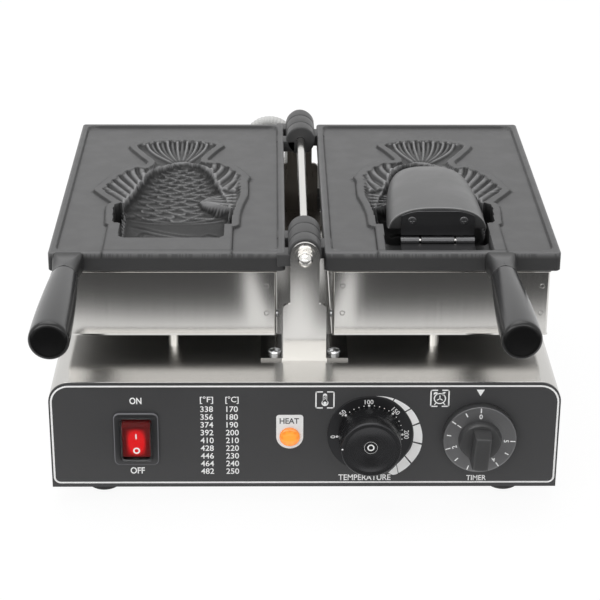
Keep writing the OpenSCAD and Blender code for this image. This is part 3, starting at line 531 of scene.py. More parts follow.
def worn_coat(name, colour, rough, scale, bump, mottle, highlight_lift=3.6, **constants):
    """Coating lightened on crests and darkened in hollows by the mesh's own masks: partly wear and soot,
    mostly painted highlight and painted shade.
    """
    finish = coated(name, colour, rough, scale, bump, mottle, **constants)
    plain = finish.shader.inputs["Base Color"].links[0].from_socket
    # painted highlight, partly wear: a lighter copy of the colour where the mesh's highlight mask is high
    rubbed = finish.blend(finish.attribute("wear_and_highlight"), plain, tint(colour, highlight_lift))
    # painted shade, partly soot: a much darker copy of the colour where the mesh's shade mask is high
    finish.feed("Base Color", finish.blend(finish.attribute("soot_and_shade"), rubbed, tint(colour, 0.16)))


def make_finishes(colours):
    """Every finish of the object, by name."""
    brushed_group()
    cast_group()
    handled_group()
    steel = colours.steel
    brushed_metal("shell_steel", steel, (0.02, 1, 0.02), 0.24, 0.06, 1600.0, 0.00001)
    brushed_metal("pan_steel", tint(steel, 1.14), (1, 1, 0.015), 0.12, 0.2, 1900.0, 0.000006)
    bracket = brushed_metal("bracket_steel", tint(steel, 1.36), (1, 1, 0.03), 0.14, 0.05, 1500.0, 0.000008)
    # painted shade: the front bracket's foot flanges darker
    darker_feet(bracket, tint(steel, 0.42))
    # rear bracket: a dark copy of the bracket steel, painted shade for the shadow it stands in
    brushed_metal("shaded_bracket_steel", (0.11, 0.1, 0.09), (1, 1, 0.03), 0.28, 0.08, 1500.0, 0.000008)
    brushed_metal("bright_steel", tint(steel, 1.25), (1, 0.05, 1), 0.16, 0.1, 600.0)
    brushed_metal("zinc", (0.72, 0.73, 0.74), (1, 1, 1), 0.22, 0.12, 500.0, 0.00004)
    brushed_metal("dark_steel", (0.085, 0.085, 0.088), (0.05, 1, 1), 0.34, 0.2, 700.0)
    brushed_metal("hinge_steel", (0.13, 0.13, 0.133), (0.05, 1, 1), 0.36, 0.2, 700.0)
    brushed_metal("heater_tube", (0.16, 0.14, 0.12), (1, 0.2, 1), 0.5, 0.3, 400.0, 0.00008)
    brushed_metal("copper_bulb", (0.72, 0.34, 0.18), (1, 0.05, 1), 0.3, 0.15, 500.0)
    brushed_metal("pressed_case", (0.5, 0.5, 0.5), (1, 1, 0.1), 0.4, 0.15, 500.0)
    coat = colours.coat
    # these four coats take painted highlight and painted shade from their meshes' masks
    worn_coat("mould_coat", coat, 0.4, 900.0, 0.00009, 0.1, 3.0, IOR=1.34)
    worn_coat("core_coat", tint(coat, 0.82), 0.36, 500.0, 0.00004, 0.06, IOR=1.6)
    coated("panel_film", colours.panel, 0.5, 420.0, 0.00003, 0.12)
    worn_coat("grip_black", colours.grip, 0.22, 500.0, 0.00002, 0.12)
    worn_coat("bezel_black", (0.012, 0.012, 0.013), 0.2, 300.0, 0.00001, 0.1, 14)
    coated("timer_black", (0.045, 0.045, 0.046), 0.4, 600.0, 0.00004, 0.12)
    coated("rubber", (0.018, 0.018, 0.018), 0.75, 500.0, 0.00015, 0.2)
    coated("white_ink", (0.95, 0.95, 0.94), 0.5, 900.0, 0.00001, 0.03)
    coated("grey_ink", (0.09, 0.09, 0.095), 0.5, 900.0, 0.00001, 0.05)
    coated("label_white", (0.87, 0.87, 0.86), 0.42, 600.0, 0.00001, 0.02)
    coated("white_plastic", (0.75, 0.74, 0.7), 0.45, 500.0, 0.00003, 0.04)
    coated("phenolic", (0.16, 0.07, 0.035), 0.5, 500.0, 0.00006, 0.25)
    coated("hose_grey", (0.55, 0.55, 0.54), 0.5, 700.0, 0.00004, 0.08)
    coated("wool", (0.72, 0.7, 0.64), 0.95, 300.0, 0.0012, 0.15)
    ring_metal("dial_black", (0.035, 0.035, 0.037), 0.34)
    ring_metal("timer_grey", (0.17, 0.17, 0.173), 0.32)
    ring_metal("knob_face", (0.038, 0.038, 0.04), 0.26)
    rocker_red(colours.rocker)
    clear_cover()
    lamp_amber(colours.lamp)


def ring_metal(name, colour, rough):
    """Face turned on a lathe: fine rings along the piece's own polar map draw its highlight out."""
    finish = Finish(name, Metallic=0.75, Anisotropic=0.75)
    uv = finish.tree.nodes.new("ShaderNodeUVMap")
    uv.uv_map = "Surface"
    rings = noise_node(finish.tree, stretch_node(finish.tree, uv.outputs[0], (3, 90, 1)), 1.0, 3.0, 0.7)
    grain = finish.group("fine_grain", Scale=500.0)
    tone = finish.blend(rings, tint(colour, 0.7), tint(colour, 1.35))
    finish.feed("Base Color", finish.blend(grain["Mottle"], tone, tint(colour, 1.1)))
    finish.feed("Roughness", finish.span(rings, rough * 0.85, rough * 1.2))
    tangent = finish.tree.nodes.new("ShaderNodeTangent")
    tangent.direction_type = "UV_MAP"
    tangent.uv_map = "Surface"
    finish.feed("Tangent", tangent.outputs[0])


def rocker_red(colour):
    """Lit red plastic: bright behind the middle, darker towards the edges."""
    finish = Finish("rocker_red", Roughness=0.35, Emission_Strength=0.3, IOR=1.2)
    grain = finish.group("fine_grain", Scale=500.0)
    window = finish.attribute("glow")
    deep = finish.blend(grain["Mottle"], tint(colour, 0.12), tint(colour, 0.2))
    finish.feed("Base Color", finish.blend(window, deep, colour))
    finish.feed("Emission Color", finish.blend(window, tint(colour, 0.04), colour))
    finish.relief(grain["Grain"], 0.00002, 0.4)


def clear_cover():
    """Clear soft cover: thin, glossy, seen mostly by its edges."""
    finish = Finish("clear_cover", Transmission_Weight=1.0, IOR=1.12)
    finish.shader.inputs["Base Color"].default_value = (0.97, 0.975, 0.975, 1)
    rubbed = finish.group("handled", Scale=90.0)
    finish.feed("Roughness", finish.span(rubbed["Rubbed"], 0.04, 0.1, 0, 1))


def lamp_amber(colour):
    """Lit amber lens: brightest in the middle, darker and redder at its rim."""
    finish = Finish("lamp_amber", Roughness=0.12, Emission_Strength=0.75, Coat_Weight=0.5)
    grain = finish.group("fine_grain", Scale=420.0)
    window = finish.attribute("glow")
    rim = finish.blend(grain["Mottle"], tint(colour, 0.45), tint(colour, 0.6))
    tone = finish.blend(window, rim, colour)
    finish.feed("Base Color", tone)
    finish.feed("Emission Color", tone)
    finish.relief(grain["Grain"], 0.00004, 0.5)


# Mould relief ------------------------
# All in the mould's own plane: first number across, outward from the hinge, second from the plate's front.

# The opening's outline: up its outer side from mouth to tail, and down its inner side
OUTER_SIDE = [
    (32, 27), (35.5, 30.5), (35.6, 53.5), (41, 54.9), (41.7, 66), (42.6, 80), (42.4, 87.2), (38.2, 92),
    (41.5, 97), (44.3, 102), (49.1, 109.5), (54, 118), (51.6, 126), (49.6, 133), (47.4, 138.5),
    (45.9, 143.3), (43.4, 148.5), (41.2, 152.3), (38.6, 157), (35.6, 161), (33.4, 163.2), (31, 164),
    (26.4, 163.2), (22.8, 163.6), (19.8, 168.5), (18.6, 176), (21.2, 182.5), (24.6, 188.4), (28.4, 196.6),
    (32.6, 205), (34.8, 211),
]
INNER_SIDE = [
    (-26.4, 212.4), (-22.4, 204), (-19.9, 197.6), (-17, 189.5), (-14.9, 182.8), (-15.4, 176.5),
    (-18.8, 173.6), (-24.4, 174.3), (-28.6, 173.2), (-33, 169.4), (-36, 165.6), (-38.4, 161.8),
    (-40.8, 157.6), (-43, 153), (-45.2, 148.4), (-47, 143.2), (-46, 139), (-45.4, 134.9), (-45.8, 125),
    (-46, 115), (-45.7, 106.4), (-44.6, 99), (-43.2, 91.5), (-42.2, 83.5), (-41.3, 75.9), (-40.7, 66.6),
    (-40.6, 52.1), (-35.8, 51.5), (-35.7, 30.5), (-32, 27),
]

# Lines of ridges and grooves inside it, and how strong each ray is
CREST = [
    (28.9, 143.8), (22.1, 148.3), (14.7, 158.6), (7.8, 165.6), (2, 169), (-4.7, 169.5), (-10.6, 167.2),
    (-16.3, 164.4), (-20.5, 158.5), (-23.6, 149), (-25, 143),
]
LEAF = [
    (-15.5, 97), (-20, 103.5), (-26, 108.5), (-34, 110), (-43, 108), (-43.4, 96), (-42.6, 79), (-35.1, 82),
    (-25.1, 86.5), (-18, 91),
]
RAY_END = [(-42, 105.5), (-43, 99), (-43, 92), (-42.5, 84.5), (-38, 80.5)]
RAYS = [
    ([(22, 134), (26.5, 148), (27.6, 156), (27.8, 163)], 1),
    ([(25, 124), (31.2, 140), (33.8, 150), (35.2, 160)], 1),
    ([(28.5, 119), (36.5, 138), (39.6, 146), (41.4, 152)], 1),
    ([(31.5, 112), (41.2, 131), (44.6, 139), (46.2, 144)], 1),
    ([(33.5, 103), (43.6, 121), (47.6, 129), (50, 134)], 1),
    ([(34.5, 93), (39.5, 101), (45.4, 110), (53.4, 121)], 1),
    ([(35.5, 85), (40, 91), (44, 97), (48.5, 104)], 0.8),
    ([(-20, 140), (-24.6, 157), (-25.6, 166), (-25.8, 173)], 1),
    ([(-21, 132), (-28.2, 150), (-31.4, 161), (-32, 169)], 1),
    ([(-24, 120), (-33, 139), (-37, 150), (-38.9, 160.5)], 1),
    ([(-33, 118), (-39, 129.5), (-42, 141), (-43.6, 151)], 1),
    ([(-37.4, 108.5), (-41.6, 119), (-44.6, 130), (-46.4, 142)], 1),
]
FLOW = [
    [(30.5, 30), (25.3, 32), (22.9, 38.6), (16.9, 37.5), (8, 33), (-2, 29.5)],
    [(33.5, 50), (22.7, 47.5), (9.6, 40.5), (-4, 35), (-16, 33)],
    [(-19, 33), (-23, 36), (-30, 31)],
]

# The body's bowl: distance from the front, half width, depth
CAVITY = [
    (51, 39, 24.9), (85, 39, 24.9), (110, 35, 22.9), (135, 29.5, 19.4), (158, 24, 14.6), (168, 19.5, 11.2),
    (176, 12, 7.4), (182, 3, 3.6),
]

# Lobes of the tail, shift of marks per depth, middle of the body, and where scales, fins and tail begin
LOBES = 8
TILT = 2.22
CENTRE_X = -0.6
SCALES_FROM = 66
FINS_FROM = 92
TAIL_FROM = 176
RIB_ROOT = (3.4, 168.5)
EYE = (-29.5, 71)

# The leaf's depth at its outer end and how much it grows, and its outer end and reach across
LEAF_LOW = 3.2
LEAF_RISE = 13
LEAF_X = (-43, 27.5)

# Hinge pocket of the right plate: its middle and half width across, its front and its back
POCKET = (-0.2, 35.8, 4.5, 31)


def tail_arch(t):
    """Far edge of the tail without its lobes: an arch from (34.8, 211) to (-26.4, 212.4)."""
    return 34.8 - 61.2 * t, 210 + 1.4 * t + 11.5 * np.sin(np.pi * t) ** 0.62


def tail_edge(count=120):
    """Scalloped far edge of the tail: the arch with rounded lobes on it."""
    t = np.linspace(0, 1, count)[1:-1]
    u, v = tail_arch(t)
    return list(zip(u, v + 2.3 * np.abs(np.sin(np.pi * LOBES * t)) ** 0.6))


def cavity_outline():
    """Closed outline of the fish's opening in the top face."""
    return OUTER_SIDE + tail_edge() + INNER_SIDE


def bell(x, middle, width):
    """exp(-((x - middle) / width)^2): 1 in the middle, nearly 0 two widths away."""
    return np.exp(-((x - middle) / width) ** 2)


def spot(x, y, place, half_w, half_h, power):
    """Round spot: exp(-(((x - px) / half_w)^2 + ((y - py) / half_h)^2)^power)."""
    return np.exp(-(((x - place[0]) / half_w) ** 2 + ((y - place[1]) / half_h) ** 2) ** power)


def bow(value):
    """One coordinate of a superellipse of power BOW, from the cosine or sine of its angle."""
    return np.sign(value) * np.abs(value) ** (2 / BOW)


def line_distance(x, y, points):
    """Distance to an open polyline and how far along it the nearest point lies, from 0 to 1."""
    p = np.array(points, float)
    best = np.full(x.shape, 1e9)
    along = np.zeros(x.shape)
    total = np.hypot(*(p[1:] - p[:-1]).T)
    start = np.concatenate([[0], np.cumsum(total)])
    for (ax, ay), (bx, by), s0, length in zip(p[:-1], p[1:], start, total):
        dx, dy = bx - ax, by - ay
        t = np.clip(((x - ax) * dx + (y - ay) * dy) / (length ** 2), 0, 1)
        d = np.hypot(x - ax - t * dx, y - ay - t * dy)
        near = d < best
        best = np.where(near, d, best)
        along = np.where(near, (s0 + t * length) / start[-1], along)
    return best, along


def rib(x, y, points, width, open_end=False):
    """Rounded ridge along a smooth line: 1 on the line, falling to 0 at width, lower towards its ends."""
    d, along = line_distance(x, y, smooth_line(points, 4))
    end = 1 if open_end else np.clip(6 * (1.02 - along), 0, 1)
    return np.clip(1 - (d / width) ** 2, 0, 1) * end * np.clip(5 * (along + 0.03), 0, 1)


def highest(shape, ridges):
    """Highest of several ridges at each point of a grid."""
    best = np.zeros(shape)
    for ridge in ridges:
        best = np.maximum(best, ridge)
    return best


def tail_ribs():
    """Curved ribs that fan out from the tail's root: one to each notch between lobes, finer ones between."""
    lines = []
    strong = [(k / LOBES, 1.0) for k in range(1, LOBES)]
    fine = [((k + 0.5) / LOBES, 0.6) for k in range(1, LOBES - 1)]
    root_u, root_v = RIB_ROOT
    for t, strength in strong + fine:
        end_u, end_v = tail_arch(np.array(t))
        s = np.linspace(0, 1, 10)
        u = root_u - 7.2 * t + (end_u - root_u + 7.2 * t) * (1 - (1 - s) ** 2.0)
        lines.append((np.stack([u, root_v + (end_v - root_v) * s], -1), strength))
    return lines


def body_depth(x, y):
    """Depth of the body's bowl: at each distance from the front a superellipse of power BOW across."""
    table = np.array(CAVITY)
    half_w = np.interp(y, table[:, 0], table[:, 1])
    half_h = np.interp(y, table[:, 0], table[:, 2])
    t = np.clip(np.abs(x - CENTRE_X) / half_w, 0, 1)
    return half_h * (1 - t ** BOW) ** (1 / BOW) * (y < CAVITY[-1][0])


def scales(x, y, sizes):
    """Overlapping round scales in rows that narrow towards the tail.

    Each rises slowly and drops at an arched edge. Gives their height, their edges and where they lie.
    """
    best = np.zeros(x.shape)
    edge = np.zeros(x.shape)
    bent_x = x - CENTRE_X + 1.5 * np.sin(0.21 * y + 1.3) + 0.8 * np.sin(0.5 * y + 0.21 * x)
    from_mouth = y - 57.5 - 0.006 * x ** 2
    rows = (from_mouth / (sizes.row / MM) + 0.00028 * np.clip(from_mouth, 0, None) ** 2
            + 0.2 * np.sin(0.21 * x + 0.13 * y) + 0.12 * np.sin(0.43 * x - 0.3 * y))
    wide = 19.5 - 7.5 * np.clip(from_mouth / 110, 0, 1)
    for odd in (0, 1):
        across = bent_x / wide - odd * 0.5
        local = (across - np.round(across)) * 2
        shift = (rows - odd - 0.95 * local ** 2) / 2
        s = shift - np.floor(shift)
        sides = np.clip(1.3 - np.abs(local) ** 3, 0, 1)
        height = np.clip(1.05 - s * 1.1, 0, 1) * np.clip(s * 9, 0, 1) * sides
        line = bell(s, 0.1, 0.055) * (1 - 0.55 * local ** 2)
        best = np.maximum(best, height)
        edge = np.maximum(edge, line * (height > 0.2))
    return best, edge, blur_step(from_mouth, 3)


def soften(field, reach):
    """Mean of a grid over a square of 2 reach + 1 cells, by running sums."""
    for axis in (0, 1):
        pad = [(0, 0), (0, 0)]
        pad[axis] = (reach + 1, reach)
        total = np.cumsum(np.pad(field, pad, mode="edge"), axis=axis)
        count = field.shape[axis]
        wide = 2 * reach + 1
        ahead = np.take(total, np.arange(wide, wide + count), axis=axis)
        field = (ahead - np.take(total, np.arange(count), axis=axis)) / wide
    return field


def land_depth(x, y, opening, sizes):
    """Depth of the field between the plate's rim and the land round the fish, and where its walls are."""
    rim = sizes.rim / MM
    corner = 6
    half_x, half_y = (PLATE_OUT - PLATE_IN) / 2 - rim, PLATE_D / 2 - rim
    qx = np.abs(x - (PLATE_IN + PLATE_OUT) / 2 + MOULD_X) - half_x + corner
    qy = np.abs(y - PLATE_D / 2) - half_y + corner
    inner = np.hypot(np.maximum(qx, 0), np.maximum(qy, 0)) + np.minimum(np.maximum(qx, qy), 0) - corner
    strip = np.maximum(np.abs(x - 1.3) - 42.6, y - 52)
    land = np.minimum(opening - 5.3, strip)
    sunk = blur_step(-inner - 0.5, 1.0) * blur_step(land - 0.5, 1.0)
    walls = bell(land, 0.5, 0.95) + 0.6 * bell(inner, -0.5, 0.75)
    return sizes.field / MM * sunk, walls * (opening > 0)


def frayed(x, y):
    """How far the fins' outline steps in between two rays: a cosine of the angle round the body."""
    angle = np.degrees(np.arctan2(y - 112, np.abs(x) - 14))
    outer = np.abs(np.cos(np.radians((angle - 18) * 15)))
    inner = np.abs(np.cos(np.radians((angle - 43) * 19.4)))
    zone = blur_step(y - 114, 6) * blur_step(np.abs(x) - 20, 4) * blur_step(TAIL_FROM - y, 4)
    return 1.3 * np.clip(np.where(x > 0, outer, inner) - 0.5, 0, 1) * 2 * zone


def smooth_depths(x, y, inside, sizes):
    """Depth of the shelf that carries fins and tail, of the bowl, and of the deepest smooth part of all.

    The other two parts are the neck between mouth and bowl and the torn cheeks beside it.
    """
    shelf = 1.3 + (sizes.fin / MM - 1.3) * (1 - np.exp(-inside / 9))
    bowl = body_depth(x, y)
    arch = np.clip(1 - (np.abs(x) / 35.8) ** 6, 0, 1) ** 0.5
    neck = arch * 20.6 * blur_step(y - 26.5, 1.6) * blur_step(62 - y, 16)
    torn = 1.1 * np.sin(1.1 * y + 0.7) + 0.8 * np.sin(0.63 * x + 2.3 * y)
    end = blur_step(92 - 6 * (x < 0) - y + torn, 2)
    cheek = 15 * blur_step(np.abs(x) - 36 + torn, 2) * end * (y > 52)
    return shelf, bowl, np.maximum(np.maximum(bowl, neck), np.maximum(shelf * (y > 86), cheek))


def with_leaf(x, y, plain):
    """Depth with the side leaf, a tongue that slopes from the bowl's middle up to its edge, and its place."""
    start, reach = LEAF_X
    slope = LEAF_LOW + LEAF_RISE * np.clip((x - start) / reach, 0, 1.1)
    tongue = [(u, a + TILT * (LEAF_LOW + LEAF_RISE * (u - start) / reach)) for u, a in LEAF]
    outline = smooth_line(tongue + tongue[:1], 3)[:-1]
    on_leaf = blur_step(-signed_distance(x, y, outline), 1.6) * (x < -10)
    return plain + (np.minimum(slope, plain + 2) - plain) * on_leaf, on_leaf


def relief(x, y, sizes, right):
    """Height of a plate's top face (0 at the rim, negative below it), and its two colour masks: painted
    highlights with some wear on the crests, and painted shade with some soot in the hollows.

    The fish's pattern is laid out on the plane through the plate's top and carried down along one slanted
    direction, so a mark at depth d lies TILT times d behind its place in that plane.
    """
    opening = signed_distance(x, y, cavity_outline())
    field, walls = land_depth(x, y, opening, sizes)
    opening = opening + frayed(x, y) * (opening < 0)
    inside = np.clip(-opening, 0, 30)
    shelf, bowl, plain = smooth_depths(x, y, inside, sizes)
    plain, on_leaf = with_leaf(x, y, plain)
    v = y - TILT * plain
    in_bowl = blur_step(bowl - shelf - 0.8, 2.0)
    on_shelf = (1 - in_bowl) * (y > FINS_FROM)
    on_tail = y > TAIL_FROM
    behind_mouth = y > 60

    # ridges of fins and tail
    rays = [strength * rib(x, v, points, 2.7, True) for points, strength in RAYS]
    rays += [strength * rib(x, v, points, 1.6, True) for points, strength in tail_ribs()]
    near_shelf = np.clip(1 - (bowl - shelf - 1) / 6, 0, 1)
    ribs = highest(x.shape, rays) * np.maximum(on_shelf, near_shelf * (y > FINS_FROM)) * (1 - on_leaf)
    crest = rib(x, v, CREST, 3.6) * (y > 120)

    # the leaf's fan, the scales behind the smooth mouth, the eye and the lines of the mouth
    stems = [[(-17, 95.5), (-27, (95.5 + end[1]) / 2 + 1.5), end] for end in RAY_END]
    fan = highest(x.shape, [rib(x, v, stem, 1.5, True) for stem in stems])
    scaled, edges, behind = scales(x, v, sizes)
    zone = in_bowl * behind * (1 - on_leaf) * (y > SCALES_FROM) * (1 - 0.75 * near_shelf * ribs)
    lip = bell(v - 55.5 - 0.004 * x ** 2, 0, 1.0) * in_bowl * (y > SCALES_FROM) * (np.abs(x) < 34)
    eye = spot(x, v, EYE, 3.0, 3.0, 1.5) * (y > 70)
    socket = spot(x, v, EYE, 5.6, 5.0, 2) * (y > 70)
    flow = highest(x.shape, [rib(x, v, points, 2.2) for points in FLOW]) * behind_mouth

    # height
    raised = (sizes.rib / MM * ribs + 1.6 * crest + sizes.scale / MM * scaled * zone * (1 - 0.8 * socket)
              + 0.7 * lip + on_leaf * (0.6 + 1.2 * fan) + 1.5 * eye - 0.9 * flow)
    depth = np.clip(plain - raised, 0.4, None)
    cut = depth * np.clip(inside / 1.1, 0, 1) ** 0.7
    height = np.where(opening < 0, -cut, -field)
    if right:
        middle, half, front, back = POCKET
        pocket = np.maximum(np.abs(x - middle) - half, np.maximum(front - y, y - back))
        height = np.minimum(height, -5.8 * np.clip(-pocket / 0.8, 0, 1))
    proud = height - soften(height, 3)

    # crests: partly rubbed bright, mostly painted highlights on ribs, scale edges, leaf, eye and proud spots,
    # and painted glints on the tail's lobes
    painted_glint = bell(opening, -0.55, 0.6) * (y > 204) * (0.5 + 0.5 * np.sin(1.1 * x + 0.4))
    crest_highlights = (0.25 * ribs * (1 - 0.6 * on_tail) + 0.3 * edges * zone + 0.35 * on_leaf * (0.5 + 0.5 * fan)
              + 0.3 * crest + 0.7 * eye + 1.3 * np.clip(proud, 0, 0.7))
    wear_and_highlight = np.clip(crest_highlights * (opening < -0.6) + painted_glint, 0, 1)

    # painted shade with some soot: in hollows, the bowl, the shelf of fins and tail, the cheeks, the left
    # wall, under the lip, at the foot of walls, on the land's walls and in the hinge pocket
    bowl_edge = bell(bowl - shelf, 2.2, 2.2) * (y > FINS_FROM)
    under_lip = (v < 56) * behind_mouth
    shade = (0.26 * in_bowl * (1 - 0.7 * on_leaf) + 0.35 * bowl_edge * in_bowl + 0.7 * flow + 0.5 * socket
             + 0.36 + 0.22 * on_shelf + 0.22 * on_shelf * on_tail + 1.5 * np.clip(-proud, 0, 0.6)
             + 0.35 * on_shelf * np.exp(-inside / 5) * (1 - ribs)
             + 0.9 * blur_step(np.abs(x) - 35.5, 3) * (y < 94) * (y > 50)
             + 0.75 * spot(x, v, (33, 66), 13, 11, 1.5) * behind_mouth
             + 0.25 * blur_step(x - 2, 40) * under_lip + 0.5 * under_lip
             + 0.85 * bell(opening, -1.7, 1.0))
    pocketed = right * (y < 33) * (y > 4.5) * (height < -2)
    soot_and_shade = np.where(opening < 0, np.clip(shade, 0, 1) * (1 - 0.9 * wear_and_highlight), 0.95 * walls + pocketed)
    return height, wear_and_highlight, np.clip(soot_and_shade, 0, 1)


def plate_lines(sizes):
    """Grid lines across and along a plate: fine over the fish, spread out beyond it, close at the edges."""
    step = sizes.step / MM
    near = np.array([0, 0.25, 0.6, 1.2, 2.4, 3.8, 4.4, 5.0, 5.6, 6.4])
    left, right = PLATE_IN - MOULD_X, PLATE_OUT - MOULD_X
    across = np.concatenate([left + near, np.linspace(left + 9, -53, 7), np.arange(-52, 60.5, step),
                             np.linspace(62, right - 8, 5), right - near[::-1]])
    along = np.concatenate([near, np.linspace(9, 24, 6), np.arange(25, 232, step * 1.18),
                            np.linspace(234, PLATE_D - 8, 6), PLATE_D - near[::-1]])
    return across, along


def plate_points(sizes, right):
    """Top sheet of a plate: a grid whose square corners are bent into arcs, with the relief on it.

    The rim's outer edge is a quarter circle: edge - sqrt(edge^2 - s^2) deep at s from its start.
    """
    across, along = plate_lines(sizes)
    x, y = np.meshgrid(across, along)
    left_side, right_side, corner, edge = PLATE_IN - MOULD_X, PLATE_OUT - MOULD_X, 2.6, 1.2
    dx = np.maximum(np.maximum(left_side + corner - x, x - right_side + corner), 0)
    dy = np.maximum(np.maximum(corner - y, y - PLATE_D + corner), 0)
    reach = np.maximum(dx, dy)
    pull = reach / np.maximum(np.hypot(dx, dy), 1e-9)
    pull = np.where((dx > 0) & (dy > 0), pull, 1)
    bent_x = x - np.where(x > 0, 1, -1) * dx * (1 - pull)
    bent_y = y - np.where(y > 100, 1, -1) * dy * (1 - pull)
    height, wear_and_highlight, soot_and_shade = relief(bent_x, bent_y, sizes, right)
    from_edge = np.clip(edge - (corner - reach), 0, edge)
    height = height - (edge - np.sqrt(edge ** 2 - from_edge ** 2)) * (reach > 0)
    # painted highlight along the plate's rounded outer edge, on the rim only
    ring = np.clip((reach - corner + 1.8) / 1.2, 0, 1) * (height > -2)
    return bent_x, bent_y, height, np.maximum(wear_and_highlight, 0.35 * ring), soot_and_shade


def border(values):
    """Values along the outer edge of a grid, once round."""
    return np.concatenate([values[0, :-1], values[:-1, -1], values[-1, :0:-1], values[:0:-1, 0]])


def side_rings(side, edge_x, edge_y):
    """Sides of a plate, the step under them and the smaller, deeper block of the casting's back."""
    mid_x = (PLATE_IN + PLATE_OUT) / 2 - MOULD_X
    draw = 1 - 1.0 / 130
    step = -13.6
    back_y = 103 + (edge_y - PLATE_D / 2) * (165 / PLATE_D)
    body = back_y < 139.5
    back_x = (edge_x - mid_x) / (PLATE_OUT - PLATE_IN) * 2 * np.where(body, 43.5, 29.5)
    drawn = (mid_x + (edge_x - mid_x) * draw, PLATE_D / 2 + (edge_y - PLATE_D / 2) * draw, step)
    rings = [(edge_x, edge_y, level) for level in (-1.2, -4.5, -8.5, -12.6)]
    rings += [drawn, (back_x, back_y, step), (back_x, back_y, np.where(body, -29.9, -22.9))]
    return np.stack([on_plate(side, *ring) for ring in rings])


def on_plate(side, x, y, z):
    """Points of a mould's own plane in the object's frame."""
    return xyz(side * (MOULD_X + x), PLATE_FRONT + y, PLATE_TOP + z)


def close_back(skin, columns, rows):
    """Fills the last ring, once round columns x rows cells: bands across it and a face at each end."""
    count = 2 * (columns + rows)
    ids = skin.count - count + np.arange(count)
    front = ids[:columns + 1]
    right = ids[columns:columns + rows + 1]
    back = ids[columns + rows:2 * columns + rows + 1]
    left = np.concatenate([ids[:1], ids[:2 * columns + rows - 1:-1]])
    skin.quads.append(np.stack([left[1:-2], right[1:-2], right[2:-1], left[2:-1]], -1))
    skin.caps.append(np.concatenate([front, right[1:2], left[1:2]]))
    skin.caps.append(np.concatenate([back, left[-2:-1], right[-2:-1]]))


def add_knuckles(skin, side):
    """Hinge knuckles round the rod and the arms that carry them, alike at both ends of the hinge."""
    bore, radius, round_off = 3.2, 11, 1.3
    turn = quarter(6)
    start = [(0, bore)] + [(round_off * (1 - math.cos(a)), radius - round_off + round_off * math.sin(a))
                           for a in turn]
    spans = [(17, 33.2)] if side > 0 else [(3.8, 16.8), (33.4, 46.7)]
    near, far = MID_Y - HINGE_HALF, MID_Y + HINGE_HALF
    for begin, end in spans:
        for y0, y1 in ((near + begin, near + end), (far - end, far - begin)):
            wide = y1 - y0
            profile = start + [(wide - a, r) for a, r in start[::-1]] + [(0, bore)]
            skin.sheet(turned(profile, (0, y0, ROD[2]), (0, 1, 0), 56), wrap=True)
            arm = block(14.6, 8.7, 1.2, wide, 0.8, (side * 11.3, y0, PLATE_TOP - 4.5), (0, 1, 0))
            skin.sheet(arm, wrap=True, caps=True)


def boss_rings(side):
    """Boss that carries the grip, a rounded bar that eases into a circle, and the painted shade on its sides.
    """
    rings, soot_and_shade = [], []
    for t in np.linspace(0, 1, 12):
        ease = t * t * (3 - 2 * t)
        ring = rounded(20 + (17 - 20) * ease, 13.6 + (18 - 13.6) * ease, 2.2 + (8.99 - 2.2) * ease, 8)
        rings.append(xyz(GRIP_X[side] + ring[:, 0], PLATE_FRONT + 1 - 27 * t,
                         PLATE_TOP - GRIP_DROP + ring[:, 1]))
        soot_and_shade.append(0.1 + 0.8 * np.clip((np.abs(ring[:, 0]) - 4.5) / 3.0, 0, 1))
    return np.stack(rings), np.concatenate(soot_and_shade)


def plate_piece(side, sizes):
    """A cooking plate: relief on top, sides, the thick back of the casting, hinge knuckles and grip boss."""
    x, y, height, wear_and_highlight, soot_and_shade = plate_points(sizes, side > 0)
    edge_x, edge_y = border(x), border(y)
    skin = Skin().sheet(on_plate(side, x, y, height))
    skin.sheet(side_rings(side, edge_x, edge_y), wrap=True)
    walls_end = skin.count - x.size
    close_back(skin, x.shape[1] - 1, x.shape[0] - 1)
    add_knuckles(skin, side)
    knuckles_end = skin.count - x.size
    boss, boss_shade = boss_rings(side)
    skin.sheet(boss, wrap=True, caps=True)
    # painted shade off the top: sides darkest, casting's back and knuckles darker, boss darker on its sides,
    # the edge row unshaded
    shade_off_top = np.full(skin.count - x.size, 0.42)
    shade_off_top[:walls_end] = 0.62
    shade_off_top[:edge_x.size] = 0
    shade_off_top[knuckles_end:] = boss_shade
    name = "right" if side > 0 else "left"
    masks = {"wear_and_highlight": np.concatenate([wear_and_highlight.ravel(), np.full(shade_off_top.size, 0.05)]),
             "soot_and_shade": np.concatenate([soot_and_shade.ravel(), shade_off_top])}
    skin.make(f"{name}_mould_plate", "mould_coat", f"{name}_half", "mould_coat", angle=40,
              stands_for=[f"{name}_plate"], attributes=masks)


